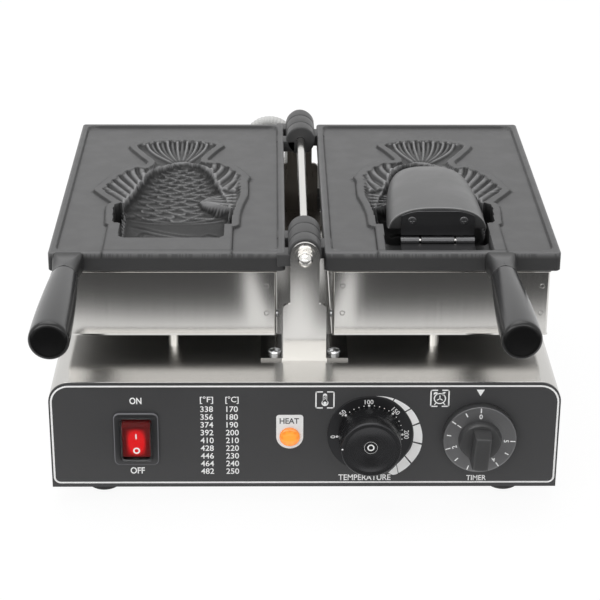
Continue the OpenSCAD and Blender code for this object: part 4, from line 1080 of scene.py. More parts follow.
def core_piece():
    """Mouth core: superellipse rings whose size follows a smooth table, and a flat front with a rounded edge.

    The edge of radius r is drawn in by r - sqrt(r^2 - (r - s)^2) at s from the front.
    """
    front, radius, sides = 31.9, 0.9, 120
    table = np.array([(front, 33.5, 19.4), (60, 33, 19), (95, 31, 17.4), (120, 27.5, 15.4), (136, 22, 11),
                      (146, 14.5, 6.4), (150.5, 5.5, 3.4)])
    v = np.concatenate([[front, 32.0, 32.3, 32.8, 33.3], np.linspace(34, 136, 40),
                        np.linspace(137, 150.4, 22)])
    spread = smooth_line(table, 40)
    half_w = np.interp(v, spread[:, 0], spread[:, 1])
    half_h = np.interp(v, spread[:, 0], spread[:, 2])
    left = (radius - np.clip(v - front, 0, radius)) ** 2
    inset = np.clip(radius - np.sqrt(np.clip(0.81 - left, 0, None)), 0, radius)
    a = circle(sides)
    rings = xyz(MOULD_X + (half_w - inset)[:, None] * bow(np.cos(a)), PLATE_FRONT + v[:, None],
                PLATE_TOP + (half_h - inset)[:, None] * bow(np.sin(a)))
    underside = PLATE_TOP + np.clip(4.6 - 0.35 * (v - front), -25, 4.6)
    rings[..., 2] = np.maximum(rings[..., 2], underside[:, None])
    # painted shade on the core's flat front, and a painted highlight along its rounded edge
    masks = {"soot_and_shade": np.repeat(0.85 * np.clip((32.35 - v) / 0.3, 0, 1), sides),
             "wear_and_highlight": np.repeat(np.clip(1 - np.abs(v - 32.9) / 0.7, 0, 1), sides)}
    Skin().sheet(rings, wrap=True, caps=True).make(
        "mouth_core_body", "core_coat", "mouth_flap", "mould_coat", stands_for=["mouth_core"], angle=50,
        attributes=masks)


def leaf_piece():
    """Upper leaf of the core's hinge: a thin plate that follows the core's arch, and its middle knuckle."""
    half = 25
    x = half * np.cos(np.linspace(0, np.pi, 60))
    top = 18.3 * (1 - (np.abs(x) / 32.6) ** BOW) ** (1 / BOW)
    arch = np.stack([x, np.minimum(top, 17.6)], -1)
    u, w = np.concatenate([[(half, 0.2)], arch, [(-half, 0.2)]]).T
    rings = [xyz(MOULD_X + u * size, PLATE_FRONT + v, PLATE_TOP + 0.2 + (w - 0.2) * size)
             for v, size in ((31.88, 1), (30.6, 1), (30.4, 0.992))]
    Skin().sheet(np.stack(rings), wrap=True, caps=True).make(
        "core_hinge_leaf", "dark_steel", "mouth_flap", "dark_steel", stands_for=["core_upper_leaf"])
    wide = 22.6
    edge = [(0, 0.9), (0, 2.3), (0.3, 2.6), (wide - 0.3, 2.6), (wide, 2.3), (wide, 0.9), (0, 0.9)]
    Skin().sheet(turned(edge, (MOULD_X - wide / 2, -69.75, 163.45), (1, 0, 0), 32), wrap=True).make(
        "core_hinge_knuckle", "hinge_steel", "mouth_flap", "dark_steel")


def screw_face(origin, axis, radius, height):
    """Domed screw head on a polar grid: a low dome, a rounded rim, and a cross pressed into its middle."""
    first, second, axis = side_frame(axis)
    r = np.concatenate([[0.02], np.linspace(0.12, 0.86, 13), [0.93, 0.975, 1.0, 1.0]]) * radius
    rr, aa = np.meshgrid(r, circle(48), indexing="ij")
    p, q = rr * np.cos(aa), rr * np.sin(aa)
    fall = height * 0.5 * np.clip((rr / radius - 0.86) / 0.14, 0, 1) ** 2
    dome = height * (0.62 + 0.38 * (1 - (rr / radius) ** 2)) - fall
    dome[-1] = -0.15
    arm = radius * 0.13
    across = np.clip((arm - np.abs(p)) / arm * 2.4, 0, 1)
    along = np.clip((arm - np.abs(q)) / arm * 2.4, 0, 1)
    cross = np.maximum(across, along) * np.clip((0.56 * radius - rr) / (0.1 * radius), 0, 1)
    dome = dome - cross * min(height * 0.5, 1.2)
    return np.array(origin, float) + p[..., None] * first + q[..., None] * second + dome[..., None] * axis


def screw_heads(name, finish, body, places, axis, radius, height):
    """One piece with a domed screw head at each place."""
    skin = Skin()
    for place in places:
        skin.sheet(screw_face(place, axis, radius, height), wrap=True)
    skin.make(name, finish, body, "bright_steel", closed=False)


# Operators ------------------------

NODE_FINISHES = {
    "shell_steel": ["rear_panel"],
    "pressed_case": ["base_floor", "left_pan_cover", "right_pan_cover", "timer_movement"],
    "panel_film": ["control_panel"],
    "bracket_steel": ["front_bracket"],
    # the rear bracket takes the dark copy of the steel: painted shade
    "shaded_bracket_steel": ["rear_bracket"],
    "bright_steel": ["hinge_washers", "thermostat_shaft", "timer_shaft", "left_stud", "right_stud",
                     "core_hinge_pin", "hinge_rod", "rest_posts", "cap_nuts"],
    "zinc": ["rear_panel_screws", "foot_screws", "bracket_screws", "left_pan_screws", "right_pan_screws",
             "lower_leaf_screws", "upper_leaf_screws"],
    "label_white": ["lamp_label"],
    "white_plastic": ["lamp_body", "terminal_block"],
    "phenolic": ["thermostat"],
    "heater_tube": ["left_element", "right_element"],
    "wool": ["left_insulation", "right_insulation"],
    "copper_bulb": ["thermostat_bulb"],
    "hinge_steel": ["core_lower_leaf"],
    "rubber": ["mains_gland", "base_glands", "left_gland", "right_gland"],
}


class CONE_OT_finishes(bpy.types.Operator):
    """Make the finishes and give one to every CAD node that stays in view"""
    bl_idname = "cone.finishes"
    bl_label = "Finishes"

    def execute(self, context):
        make_finishes(context.scene.cone_colours)
        for finish, nodes in NODE_FINISHES.items():
            for node in nodes:
                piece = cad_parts[node]
                piece.data.materials.clear()
                piece.data.materials.append(FINISH[finish])
        return {"FINISHED"}


class CONE_OT_plates(bpy.types.Operator):
    """Two mould plates with the fish relief, hinge knuckles and grip bosses"""
    bl_idname = "cone.plates"
    bl_label = "Mould plates"

    def execute(self, context):
        for side in (-1, 1):
            plate_piece(side, context.scene.cone_mould)
        return {"FINISHED"}


class CONE_OT_core(bpy.types.Operator):
    """Mouth core, its hinge leaf and screws"""
    bl_idname = "cone.core"
    bl_label = "Mouth core"

    def execute(self, context):
        core_piece()
        leaf_piece()
        across = (MOULD_X - 17.5, MOULD_X + 17.5)
        places = [(x, PLATE_FRONT + 30.4, PLATE_TOP + 10.7) for x in across]
        screw_heads("leaf_screw_heads", "hinge_steel", "mouth_flap", places, (0, -1, 0), 2.9, 0.5)
        places = [(x, PLATE_FRONT + 13.2, PLATE_TOP - 4.3) for x in across]
        screw_heads("pocket_screw_heads", "hinge_steel", "right_half", places, (0, 0, 1), 2.9, 0.4)
        return {"FINISHED"}


class CONE_OT_pans(bpy.types.Operator):
    """Heater pans: folded sheet with rounded bends, and the spot welds on their fronts"""
    bl_idname = "cone.pans"
    bl_label = "Heater pans"

    def execute(self, context):
        weld = [(0.02, 1.9), (0.06, 1.7), (0.02, 1.2), (-0.18, 0.8), (-0.3, 0.02)]
        for side, name in ((-1, "left"), (1, "right")):
            box_low, box_high = low(f"{name}_pan"), high(f"{name}_pan")
            middle = centre_of(f"{name}_pan")
            wide, deep, tall = box_high - box_low
            outer = [(0, 0.9), (0, 0.3), (1.1, -0.9), (1.5, -0.7), (1.7, 0), (2, 0),
                     (tall - 1.5, 0.0), (tall - 1.2, 0.0), (tall - 0.4, -0.6), (tall, 0.3)]
            inner = [(tall, 1.0), (1.4, 1), (0, 6)]
            rings = []
            for drop, inset in outer + inner + outer[:1]:
                ring = rounded(wide - 2 * inset, deep - 2 * inset, max(1.6 - inset, 0.3), 5)
                rings.append(xyz(middle[0] + ring[:, 0], middle[1] + ring[:, 1], box_high[2] - drop))
            Skin().sheet(np.stack(rings), wrap=True).make(
                f"{name}_pan_sheet", "pan_steel", f"{name}_half", "stainless", stands_for=[f"{name}_pan"])
            welds = Skin()
            for x in (middle[0] - side * (wide / 2 - 6.5), middle[0] + side * (wide / 2 - 5.0)):
                for z in (141, 121):
                    welds.sheet(turned(weld, (x, box_low[1], z), (0, -1, 0), 20), wrap=True)
            welds.make(f"{name}_pan_welds", "pan_steel", f"{name}_half", "stainless", closed=False)
        return {"FINISHED"}


class CONE_OT_base(bpy.types.Operator):
    """Folded base cover, feet, screw heads of the brackets and domed nuts"""
    bl_idname = "cone.base"
    bl_label = "Base"

    def execute(self, context):
        self.cover()
        self.feet()
        places = [(x, MID_Y + y, BASE_TOP + 2.0) for x in (-20, 20) for y in (-129.5, 129.5)]
        screw_heads("bracket_screw_heads", "zinc", "base", places, (0, 0, 1), 4.5, 3.25)
        self.nuts()
        return {"FINISHED"}

    def cover(self):
        """Folded cover: a sheet that goes up, over and down with round bends, its cut edges broken."""
        box_low, box_high = low("base_shell"), high("base_shell")
        half_w, rise, corner, wall = BASE_W / 2, box_high[2] - FOOT_H, 14.0, 1.2
        a = quarter(13)

        def section(inset):
            r = corner - inset
            arc = [half_w - corner, rise - corner] + r * unit(a)
            ends = [(half_w - inset, 0.02)], [(-half_w + inset, 0.02)]
            return np.concatenate([ends[0], arc, (arc * [-1, 1])[::-1], ends[1]])

        rings = []
        for along, inset in round_profile(box_high[1] - box_low[1], 0.55):
            loop = np.concatenate([section(inset), section(wall)[::-1]])
            rings.append(xyz(loop[:, 0], box_low[1] + along, FOOT_H + loop[:, 1]))
        Skin().sheet(np.stack(rings), wrap=True, caps=True).make(
            "base_cover", "shell_steel", "base", "stainless", stands_for=["base_shell"])

    def feet(self):
        """Rubber feet: lower edge a quarter of an ellipse, then straight, with a hollow for the screw."""
        reach = high("rubber_feet")[0] - 13
        edge = [(6.6 * (1 - math.cos(t)), 8.2 + 4.8 * math.sin(t)) for t in np.linspace(0.1, math.pi / 2, 10)]
        profile = [(0, 7), (0, 8)] + edge
        profile += [(11.4, 13), (11.95, 12.7), (11.95, 3), (6, 3), (6, 6.6), (0, 7)]
        feet = Skin()
        for x in (-reach, reach):
            for y in (-113.25, 177.75):
                feet.sheet(turned(profile, (x, y, 0.0), (0, 0, 1), 48), wrap=True)
        feet.make("feet", "rubber", "base", "rubber", stands_for=["rubber_feet"])

    def nuts(self):
        """Domed nuts of the rod: a hexagon with turned corners, and a dome, a quarter of an ellipse."""
        sides = 72
        t = circle(sides)
        flat = 5.0 / np.cos((t + np.pi / 6) % (np.pi / 3) - np.pi / 6)
        steps = [(along, np.minimum(flat, 5.55 - trim))
                 for along, trim in ((0, 0.25), (0.3, 0), (5.4, 0), (6, 0.35), (6, 1))]
        for s in np.linspace(0, 1, 9) * math.pi / 2:
            steps.append((6.0 + 4.6 * math.sin(s), np.full(sides, max(4.75 * math.cos(s), 0.03))))
        nuts = Skin()
        for way in (-1, 1):
            start = np.array((0, MID_Y + way * 138.6, ROD[2]))
            first, second, axis = side_frame((0, way, 0))
            ring = round_axis(t, first, second)
            nuts.sheet(np.stack([start + along * axis + r[:, None] * ring for along, r in steps]),
                       wrap=True, caps=True)
        nuts.make("domed_nuts", "bright_steel", "base", "bright_steel", stands_for=["cap_nuts"])


def grip_profile(length, neck, end):
    """Grip's side: small collar at the neck, a swell shaped like a sine, a rounded edge and a dished end."""
    t = np.linspace(0, 1, 22)
    round_off = 3.0
    radius = (neck + (end - neck) * np.sin(t * np.pi / 2)) / 2
    swell = np.stack([1.6 + t * (length - 1.6 - round_off), radius], -1)
    a = quarter(8)[1:]
    turn = np.stack([length - round_off + round_off * np.sin(a),
                     end / 2 - round_off + round_off * np.cos(a)], -1)
    collar = [(0, 2), (0, neck / 2 - 0.6), (0.35, neck / 2 - 0.1), (1.0, neck / 2 + 0.1),
              (1.35, neck / 2 - 0.35)]
    dish = [(length - 0.05, 9.0), (length - 0.25, 6.0), (length - 0.35, 3.0), (length - 0.4, 0.03)]
    return np.concatenate([collar, swell, turn, dish])


class CONE_OT_grips(bpy.types.Operator):
    """Tapered grips with a collar at the neck and a slightly hollow end"""
    bl_idname = "cone.grips"
    bl_label = "Grips"

    def execute(self, context):
        turns = 72
        for side, name in ((-1, "left"), (1, "right")):
            end, start = low(f"{name}_grip")[1], high(f"{name}_grip")[1]
            profile = grip_profile(start - end, GRIP_NECK, GRIP_END)
            # painted shade: the grip's end face darkened
            soot_and_shade = np.clip((profile[:, 0] - (start - end) + 3.2) / 1.0, 0, 1)
            points = turned(profile, (GRIP_X[side], start, PLATE_TOP - GRIP_DROP), (0, -1, 0), turns)
            Skin().sheet(points, wrap=True, caps=True).make(
                f"{name}_handle", "grip_black", f"{name}_half", "grip_black", stands_for=[f"{name}_grip"],
                angle=28, attributes={"soot_and_shade": np.repeat(soot_and_shade, turns)})
        return {"FINISHED"}


def conduit_points(route):
    """Smooth path through a route given from the plates' rear edge and the base's top."""
    return smooth_line([(x, 160.25 + y, BASE_TOP + z) for x, y, z in route], 18)


def tube(path, radius, sides=24, pitch=2.4, wave=0.28):
    """Ribbed hose: rings across a path, each turned as little as possible from the one before.

    The radius at s along it is radius - wave (1 - cos(2 pi s / pitch)) / 2.
    """
    step = np.linalg.norm(np.diff(path, axis=0), axis=1)
    along = np.concatenate([[0], np.cumsum(step)])
    even = np.arange(0, along[-1], pitch / 6)
    p = np.stack([np.interp(even, along, path[:, k]) for k in range(3)], -1)
    tangent = np.gradient(p, axis=0)
    tangent /= np.linalg.norm(tangent, axis=1)[:, None]
    normal = np.cross(tangent[0], [0, 0, 1.0])
    if np.linalg.norm(normal) < 0.3:
        normal = np.cross(tangent[0], [1.0, 0, 0])
    rings = []
    a = circle(sides)
    for index in range(len(p)):
        normal = normal - np.dot(normal, tangent[index]) * tangent[index]
        normal /= np.linalg.norm(normal)
        side = np.cross(tangent[index], normal)
        r = radius - wave * (0.5 - 0.5 * math.cos(2 * math.pi * even[index] / pitch))
        rings.append(p[index] + r * round_axis(a, normal, side))
    return np.stack(rings)


ROUTES = {
    "left": [(-34, 14, 48), (-34, 22, 49), (-37, 29, 53), (-37, 32, 61), (-30, 33, 66.5), (-21, 33, 67.5),
             (-13, 32, 64), (-8, 31, 56), (-7, 30, 46), (-8, 29, 36), (-12, 29, 25), (-14, 29, 19),
             (-14, 29, 14)],
    "right": [(34, 14, 48), (35, 21, 49), (40, 28, 50), (49, 32, 47), (56, 33, 39), (57, 33, 29),
              (50, 32, 20), (40, 31, 19), (30, 30, 26), (21, 29.5, 31), (15.5, 29, 27), (14, 29, 20),
              (14, 29, 14)],
}


class CONE_OT_hoses(bpy.types.Operator):
    """Ribbed conduits between the pans and the base"""
    bl_idname = "cone.hoses"
    bl_label = "Conduits"

    def execute(self, context):
        for name, route in ROUTES.items():
            path = conduit_points(route)
            hose = Skin().sheet(tube(path, 5.0), wrap=True, caps=True).make(
                f"{name}_hose", "hose_grey", None, "conduit_grey", stands_for=[f"{name}_conduit"], angle=60)
            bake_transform(hose)
        return {"FINISHED"}


class CONE_OT_switch(bpy.types.Operator):
    """Rocker switch: bezel, lit rocker with its marks, and the clear cover"""
    bl_idname = "cone.switch"
    bl_label = "Rocker switch"

    def execute(self, context):
        x, z = SWITCH[0], FOOT_H + 37
        self.bezel(x, z)
        self.rocker(x, z)
        self.cover(x, z)
        return {"FINISHED"}

    def bezel(self, x, z):
        """Bezel round the opening, a painted highlight on its front edge, and the body behind the panel."""
        wide, tall = 30, 39.2
        steps = [(along, inset, 4.0 - inset * 0.5)
                 for along, inset in ((0, 0), (1.2, 0), (1.7, 0.3), (2, 0.9))]
        steps += [(1.9, 4.6, 2.4), (-0.5, 4.8, 2.4)]
        rings = []
        for along, inset, corner in steps + steps[:1]:
            ring = rounded(wide - 2 * inset, tall - 2 * inset, corner, 6)
            rings.append(xyz(x + ring[:, 0], FACE_Y - along, z + ring[:, 1]))
        skin = Skin().sheet(np.stack(rings), wrap=True)
        # painted highlight along the bezel's front edge
        lit = np.repeat([0, 1, 1, 0.1, 0, 0, 0], len(rings[0]))
        body = block(26, 35.2, 1.0, 26.0, 0.5, (x, FACE_Y + 0.6, z), (0, 1, 0))
        skin.sheet(body, wrap=True, caps=True)
        wear_and_highlight = np.concatenate([lit, np.zeros(skin.count - lit.size)])
        skin.make("switch_frame", "bezel_black", "base", "knob_black", stands_for=["switch_housing"],
                  attributes={"wear_and_highlight": wear_and_highlight})

    def rocker(self, x, z):
        """Rocker: V face and round ends as one outline, tipped, and carried across with rounded sides."""
        radius, valley, wide = 14.6, np.array([-6.5, 0.0]), 19.0
        angle = math.radians(8.0)
        turn = np.array([[math.cos(angle), -math.sin(angle)], [math.sin(angle), math.cos(angle)]])
        top = np.radians(np.linspace(124.1, 72, 16))
        tip = radius * np.array([math.cos(top[0]), math.sin(top[0])])
        upper = valley + np.linspace(0, 1, 14)[:, None] * (tip - valley)
        arc = radius * unit(top)
        outline = np.concatenate([upper[:-1], arc, [(8, 0)], (arc * [1, -1])[::-1],
                                  (upper * [1, -1])[::-1][1:-1]])
        stops = np.concatenate([[0, 0.25, 0.7], np.linspace(1.5, wide - 1.5, 17),
                                [wide - 0.7, wide - 0.25, wide]])
        inset = np.concatenate([[0.9, 0.35, 0.06], np.zeros(17), [0.06, 0.35, 0.9]])
        rings, glow = [], []
        for along, draw in zip(stops, inset):
            moved = (outline * (1 - draw / radius)) @ turn.T
            rings.append(xyz(x - wide / 2 + along, FACE_Y + 5 + moved[:, 0], z + moved[:, 1]))
            side = np.clip(1.25 - np.abs(along - wide / 2) / 5.3, 0, 1)
            glow.append(side * np.clip(1.3 - np.abs(outline[:, 1] + 0.4) / 8.8, 0, 1) * (outline[:, 0] < -5))
        glow = np.clip(np.stack(glow) * 3.2, 0, 1)
        Skin().sheet(np.stack(rings), wrap=True, caps=True).make(
            "lit_rocker", "rocker_red", "rocker", "switch_red", stands_for=["power_rocker"],
            attributes={"glow": glow.ravel()})

        def on_face(u, v, way):
            run = tip * [1, way] - valley
            run = run / np.linalg.norm(run)
            out = np.array([-abs(run[1]), run[0] * np.sign(run[1])])
            flat = (valley + v[..., None] * run + 0.1 * out) @ turn.T
            return xyz(x + u, FACE_Y + 5 + flat[..., 0], z + flat[..., 1])

        marks = Skin()
        u, v = np.meshgrid([-0.5, 0.5], [1.5, 6.0], indexing="ij")
        marks.sheet(on_face(u, v, 1))
        a = circle(40)
        r = np.array([1.3, 2.35])[:, None]
        marks.sheet(on_face(r * np.cos(a), 7.6 + r * np.sin(a), -1), wrap=True)
        piece = marks.make("rocker_marks", "white_ink", "rocker", "label_white", closed=False, angle=30)
        turn_to_front(piece.data)

    def cover(self, x, z):
        """Clear cover: a rounded box of constant wall whose front rises to its middle like a sine."""
        box_low, box_high = low("switch_boot"), high("switch_boot")
        wide, depth, tall = box_high - box_low
        crown = 0.4
        shells = []
        for wall in (0, 0.7):
            w, h = wide - 2 * wall, tall - 2 * wall
            r = 2.6 - wall * 0.5
            front = depth - wall - 0.45
            steps = [(0, 0)]
            for t in quarter(7):
                steps.append((front - r + r * math.sin(t), r * (1 - math.cos(t))))
            for s in (0.12, 0.3, 0.55, 0.8, 1):
                steps.append((front + crown * s, r + (min(w, h) / 2 - r - 0.4) * s))
            rings = []
            for along, inset in steps:
                inset = min(inset, w / 2 - 0.3)
                rise = crown * math.sin(min(inset / (w / 2), 1) * math.pi / 2)
                along = min(along, front + rise) if inset > 0 else along
                narrow = w / 2 - inset
                corner = max(3.0 - inset * 0.3, 0.2) if narrow > 3 else max(narrow * 0.9, 0.05)
                ring = rounded(w - 2 * inset, h - 2 * inset, corner, 6)
                rings.append(xyz(x + ring[:, 0], box_high[1] - along, z + ring[:, 1]))
            shells.append(np.stack(rings))
        skin = Skin()
        for shell in shells:
            skin.sheet(shell, wrap=True)
            columns = shell.shape[1]
            skin.caps.append(skin.count - columns + np.arange(columns))
        skin.sheet(np.stack([shells[0][0], shells[1][0]]), wrap=True)
        skin.make("clear_switch_cover", "clear_cover", "base", "clear_boot", stands_for=["switch_boot"],
                  angle=40)


def around(x, z, radius, turn):
    """Place on a circle round x, z in the panel's plane."""
    return x + radius * math.cos(turn), z + radius * math.sin(turn)


def from_panel(profile, x, z, turns=120):
    """Profile turned round an axis that stands out from the panel at x, z."""
    return turned(profile, (x, FACE_Y, z), (0, -1, 0), turns)


def glyphs(text, height, turn, weight, width):
    """Words as flat faces round their middle: capitals scaled to height, the whole to width, then turned."""
    curve = bpy.data.curves.new("words", "FONT")
    curve.body = text
    curve.offset = weight
    curve.resolution_u = 5
    holder = link("words", curve)
    made = holder.to_mesh()
    points = np.zeros(len(made.vertices) * 3)
    made.vertices.foreach_get("co", points)
    faces = [tuple(face.vertices) for face in made.polygons]
    holder.to_mesh_clear()
    bpy.data.objects.remove(holder)
    bpy.data.curves.remove(curve)
    points = points.reshape(-1, 3)[:, :2] / 0.69 * height
    points = points - (points.max(0) + points.min(0)) / 2
    if width:
        points[:, 0] *= width / np.ptp(points[:, 0])
    c, s = math.cos(turn), math.sin(turn)
    return points @ np.array([[c, s], [-s, c]]), faces


class Print:
    """Collects words, lines and shapes that lie on one plane, depth in front of the panel's face."""

    def __init__(self, depth=0.05):
        self.points, self.faces, self.count, self.depth = [], [], 0, depth

    def add(self, points, faces):
        """Points in the panel's plane and the faces between them."""
        points = np.array(points, float)
        self.points.append(xyz(points[:, 0], FACE_Y - self.depth, points[:, 1]))
        self.faces += [tuple(i + self.count for i in face) for face in faces]
        self.count += len(points)

    def words(self, text, height, x, z, turn=0.0, weight=0.0, width=None):
        """Words with their middle at x, z; weight thickens the strokes."""
        points, faces = glyphs(text, height, turn, weight, width)
        self.add([x, z] + points, faces)

    def shape(self, corners):
        """One filled face."""
        self.add(corners, [tuple(range(len(corners)))])

    def band(self, first, second, closed=False):
        """Strip between two lines with the same number of points."""
        count = len(first)
        last = count if closed else count - 1
        self.add(np.concatenate([first, second]),
                 [(i, (i + 1) % count, count + (i + 1) % count, count + i) for i in range(last)])

    def ring(self, x, z, r0, r1, start=0.0, end=360.0):
        """Ring between two radii, or the part of it between two angles."""
        a = np.radians(np.linspace(start, end, max(int(abs(end - start) / 8), 3) + 1))
        self.band([x, z] + r0 * unit(a), [x, z] + r1 * unit(a))

    def dot(self, x, z, r, sides=16):
        """Filled disc."""
        self.shape([x, z] + r * unit(circle(sides)))

    def bar(self, x, z, length, width, turn):
        """Straight stroke with its middle at x, z; turn is its direction."""
        run = np.array([math.cos(turn), math.sin(turn)]) * length / 2
        out = np.array([-math.sin(turn), math.cos(turn)]) * width / 2
        middle = np.array([x, z])
        self.shape([middle - run - out, middle + run - out, middle + run + out, middle - run + out])

    def piece(self, name, finish, body, slot):
        """One flat piece of all that was collected, facing the front."""
        mesh = bpy.data.meshes.new(name)
        mesh.from_pydata((np.concatenate(self.points) * MM).tolist(), [], self.faces)
        turn_to_front(mesh)
        made = new_object(name, mesh, FINISH[finish])
        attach(made, body)


class CONE_OT_lamp(bpy.types.Operator):
    """Domed amber lamp lens, and the grey word on its label"""
    bl_idname = "cone.lamp"
    bl_label = "Lamp"

    def execute(self, context):
        box_low, box_high = low("lamp_lens"), high("lamp_lens")
        radius = (box_high[0] - box_low[0]) / 2
        depth = box_high[1] - box_low[1]
        turns, rim = 48, 0.9
        dome = [(rim + (depth - rim) * math.sin(a), max(radius * math.cos(a), 0.03))
                for a in quarter(14)]
        profile = [(0, radius - 0.6), (0.05, radius), (0.5, radius)] + dome
        points = turned(profile, (LAMP[0], box_high[1], LAMP[2]), (0, -1, 0), turns)
        reach = np.array([r for _, r in profile]) / radius
        facets = 0.5 + 0.5 * np.cos(np.linspace(0, 16 * np.pi, turns, endpoint=False))
        dim = 0.5 * bell(reach, 0.72, 0.12)
        glow = np.clip(1.5 - reach ** 2 * 1.2, 0, 1)[:, None] - dim[:, None] * facets
        Skin().sheet(points, wrap=True, caps=True).make(
            "amber_lens", "lamp_amber", "base", "amber", stands_for=["lamp_lens"],
            attributes={"glow": np.clip(glow, 0, 1).ravel()})
        word = Print(FACE_Y - low("lamp_label")[1] + 0.05)
        word.words("HEAT", 4.0, LAMP[0] - 0.3, FOOT_H + 50.2, weight=0.02, width=12.9)
        word.piece("heat_word", "grey_ink", "base", "label_white")
        return {"FINISHED"}


class CONE_OT_panel_print(bpy.types.Operator):
    """Border, words, temperature table, arc of heat and signs on the control panel"""
    bl_idname = "cone.panel_print"
    bl_label = "Panel print"

    def execute(self, context):
        sizes = context.scene.cone_panel
        ink = Print()
        self.outline(ink, sizes.line / MM)
        large, small = sizes.words / MM, 4.0
        for text, height, x, z, weight, width in (
                ("ON", large, -112.3, 65.1, 0.02, 8.0), ("OFF", large, -112.3, 12.6, 0.02, 9.6),
                ("TIMER", 3.8, 116.0, 6.6, 0.015, 13.4), ("TEMPERATURE", 4.3, 40.5, 7.0, 0.015, 35.3),
                ("[°F]", small, -65.3, 65.6, 0.01, 8.8), ("[°C]", small, -48.4, 65.6, 0.01, 8.8)):
            ink.words(text, height, x, FOOT_H + z, weight=weight, width=width)
        for index in range(9):
            z = FOOT_H + 58.9 - index * sizes.row / MM
            ink.words(str(338 + 18 * index), sizes.table / MM, -65.3, z, weight=0.012)
            ink.words(str(170 + 10 * index), sizes.table / MM, -48.4, z, weight=0.012)
        ink.shape([(113.6, FOOT_H + 73.2), (116.3, FOOT_H + 68.4), (119.0, FOOT_H + 73.2)])
        self.crescent(ink)
        self.thermometer(ink, 13.2, FOOT_H + 65.7)
        self.clock(ink, 89.4, FOOT_H + 66.8)
        ink.piece("panel_print", "white_ink", "base", "label_white")
        return {"FINISHED"}

    def outline(self, ink, line):
        """Line round the panel: corners of radius 4 below, and wide ones of radius 12 above."""
        half_w, tall, middle = 168.3, 72.5, FOOT_H + (3.3 + 75.8) / 2
        loops = []
        for half in (line / 2, -line / 2):
            loop = rounded(2 * half_w + 2 * half, tall + 2 * half, 4.0 + half, 8) + [0, middle]
            top = loop[:, 1] > middle
            loop[top] = self.top_corner(loop[top], middle + tall / 2 + half, half_w + half, 12 + half)
            loops.append(loop)
        ink.band(*loops, closed=True)

    def top_corner(self, points, top, side, radius):
        """Points of the upper half moved onto a rounded top: the angle round the corner is kept."""
        a = np.linspace(0, np.pi / 2, len(points) // 2)
        right = [side - radius, top - radius] + radius * unit(a)
        return np.concatenate([right, (right * [-1, 1])[::-1]])

    def crescent(self, ink):
        """Seven white segments between two arcs that meet in points at both ends."""
        outer = smooth_line([(47.1, 68.5), (54.5, 67.9), (62, 65.2), (70, 59.4), (75.4, 51),
                             (78.6, 39.2), (77.2, 27), (70.7, 16.4), (64, 10.6), (60, 8.9),
                             (56.4, 10.5)], 10)
        inner = smooth_line([(47.1, 68.5), (54.2, 67), (60.5, 63.4), (66.5, 57.2), (71.2, 48.6),
                             (72.8, 39.2), (71.4, 30), (66.6, 22.4), (62.4, 17.2), (59.4, 13.6),
                             (56.4, 10.5)], 10)
        cuts = np.array([0.0, 0.155, 0.3, 0.425, 0.55, 0.685, 0.81, 1.0]) * (len(outer) - 1)
        for begin, end in zip(cuts[:-1], cuts[1:]):
            first = int(round(begin)) + (1 if begin > 0 else 0)
            last = int(round(end)) + 1
            ink.band(outer[first:last] + [0, FOOT_H], inner[first:last] + [0, FOOT_H])

    def open_square(self, ink, x, z, size):
        """Square outline broken in the middle of its top and bottom."""
        half, line = size / 2, 0.9
        for way in (-1, 1):
            ink.bar(x + way * (half - line / 2), z, size, line, math.pi / 2)
            for level in (-1, 1):
                ink.bar(x + way * (half / 2 + 0.7), z + level * (half - line / 2), half - 1.4, line, 0)

    def thermometer(self, ink, x, z):
        """Sign of a thermometer: bulb and neck as one outline, with three strokes in it."""
        self.open_square(ink, x, z, 12.8)
        bulb = [0, -2.3] + 2.3 * unit(np.radians(np.linspace(-235, 55, 30)))
        top = [0, 3.4] + 1.4 * unit(np.radians(np.linspace(0, 180, 10)))
        centre = np.array([x, z])
        loop = np.concatenate([bulb, top]) + centre
        ink.band(loop, centre + (loop - centre) * 0.74, closed=True)
        ink.dot(x, z - 2.3, 1.1)
        for level in (0.8, 2.0, 3.2):
            ink.bar(x, z + level, 1.3, 0.5, 0.5)

    def clock(self, ink, x, z):
        """Sign of an alarm clock: face, bells, feet and three hands."""
        self.open_square(ink, x, z, 12.8)
        ink.ring(x, z - 0.2, 3.3, 4.1)
        for way in (-1, 1):
            ink.ring(x + way * 2.8, z + 3.2, 0.1, 1.5, 45 if way > 0 else -20, 200 if way < 0 else 270)
            ink.bar(x + way * 3.0, z - 4.2, 1.8, 0.7, -way * 0.9)
        for angle in (90, 215, 325):
            turn = math.radians(angle)
            ink.bar(x + 1.1 * math.cos(turn), z - 0.2 + 1.1 * math.sin(turn), 2.4, 0.7, turn)


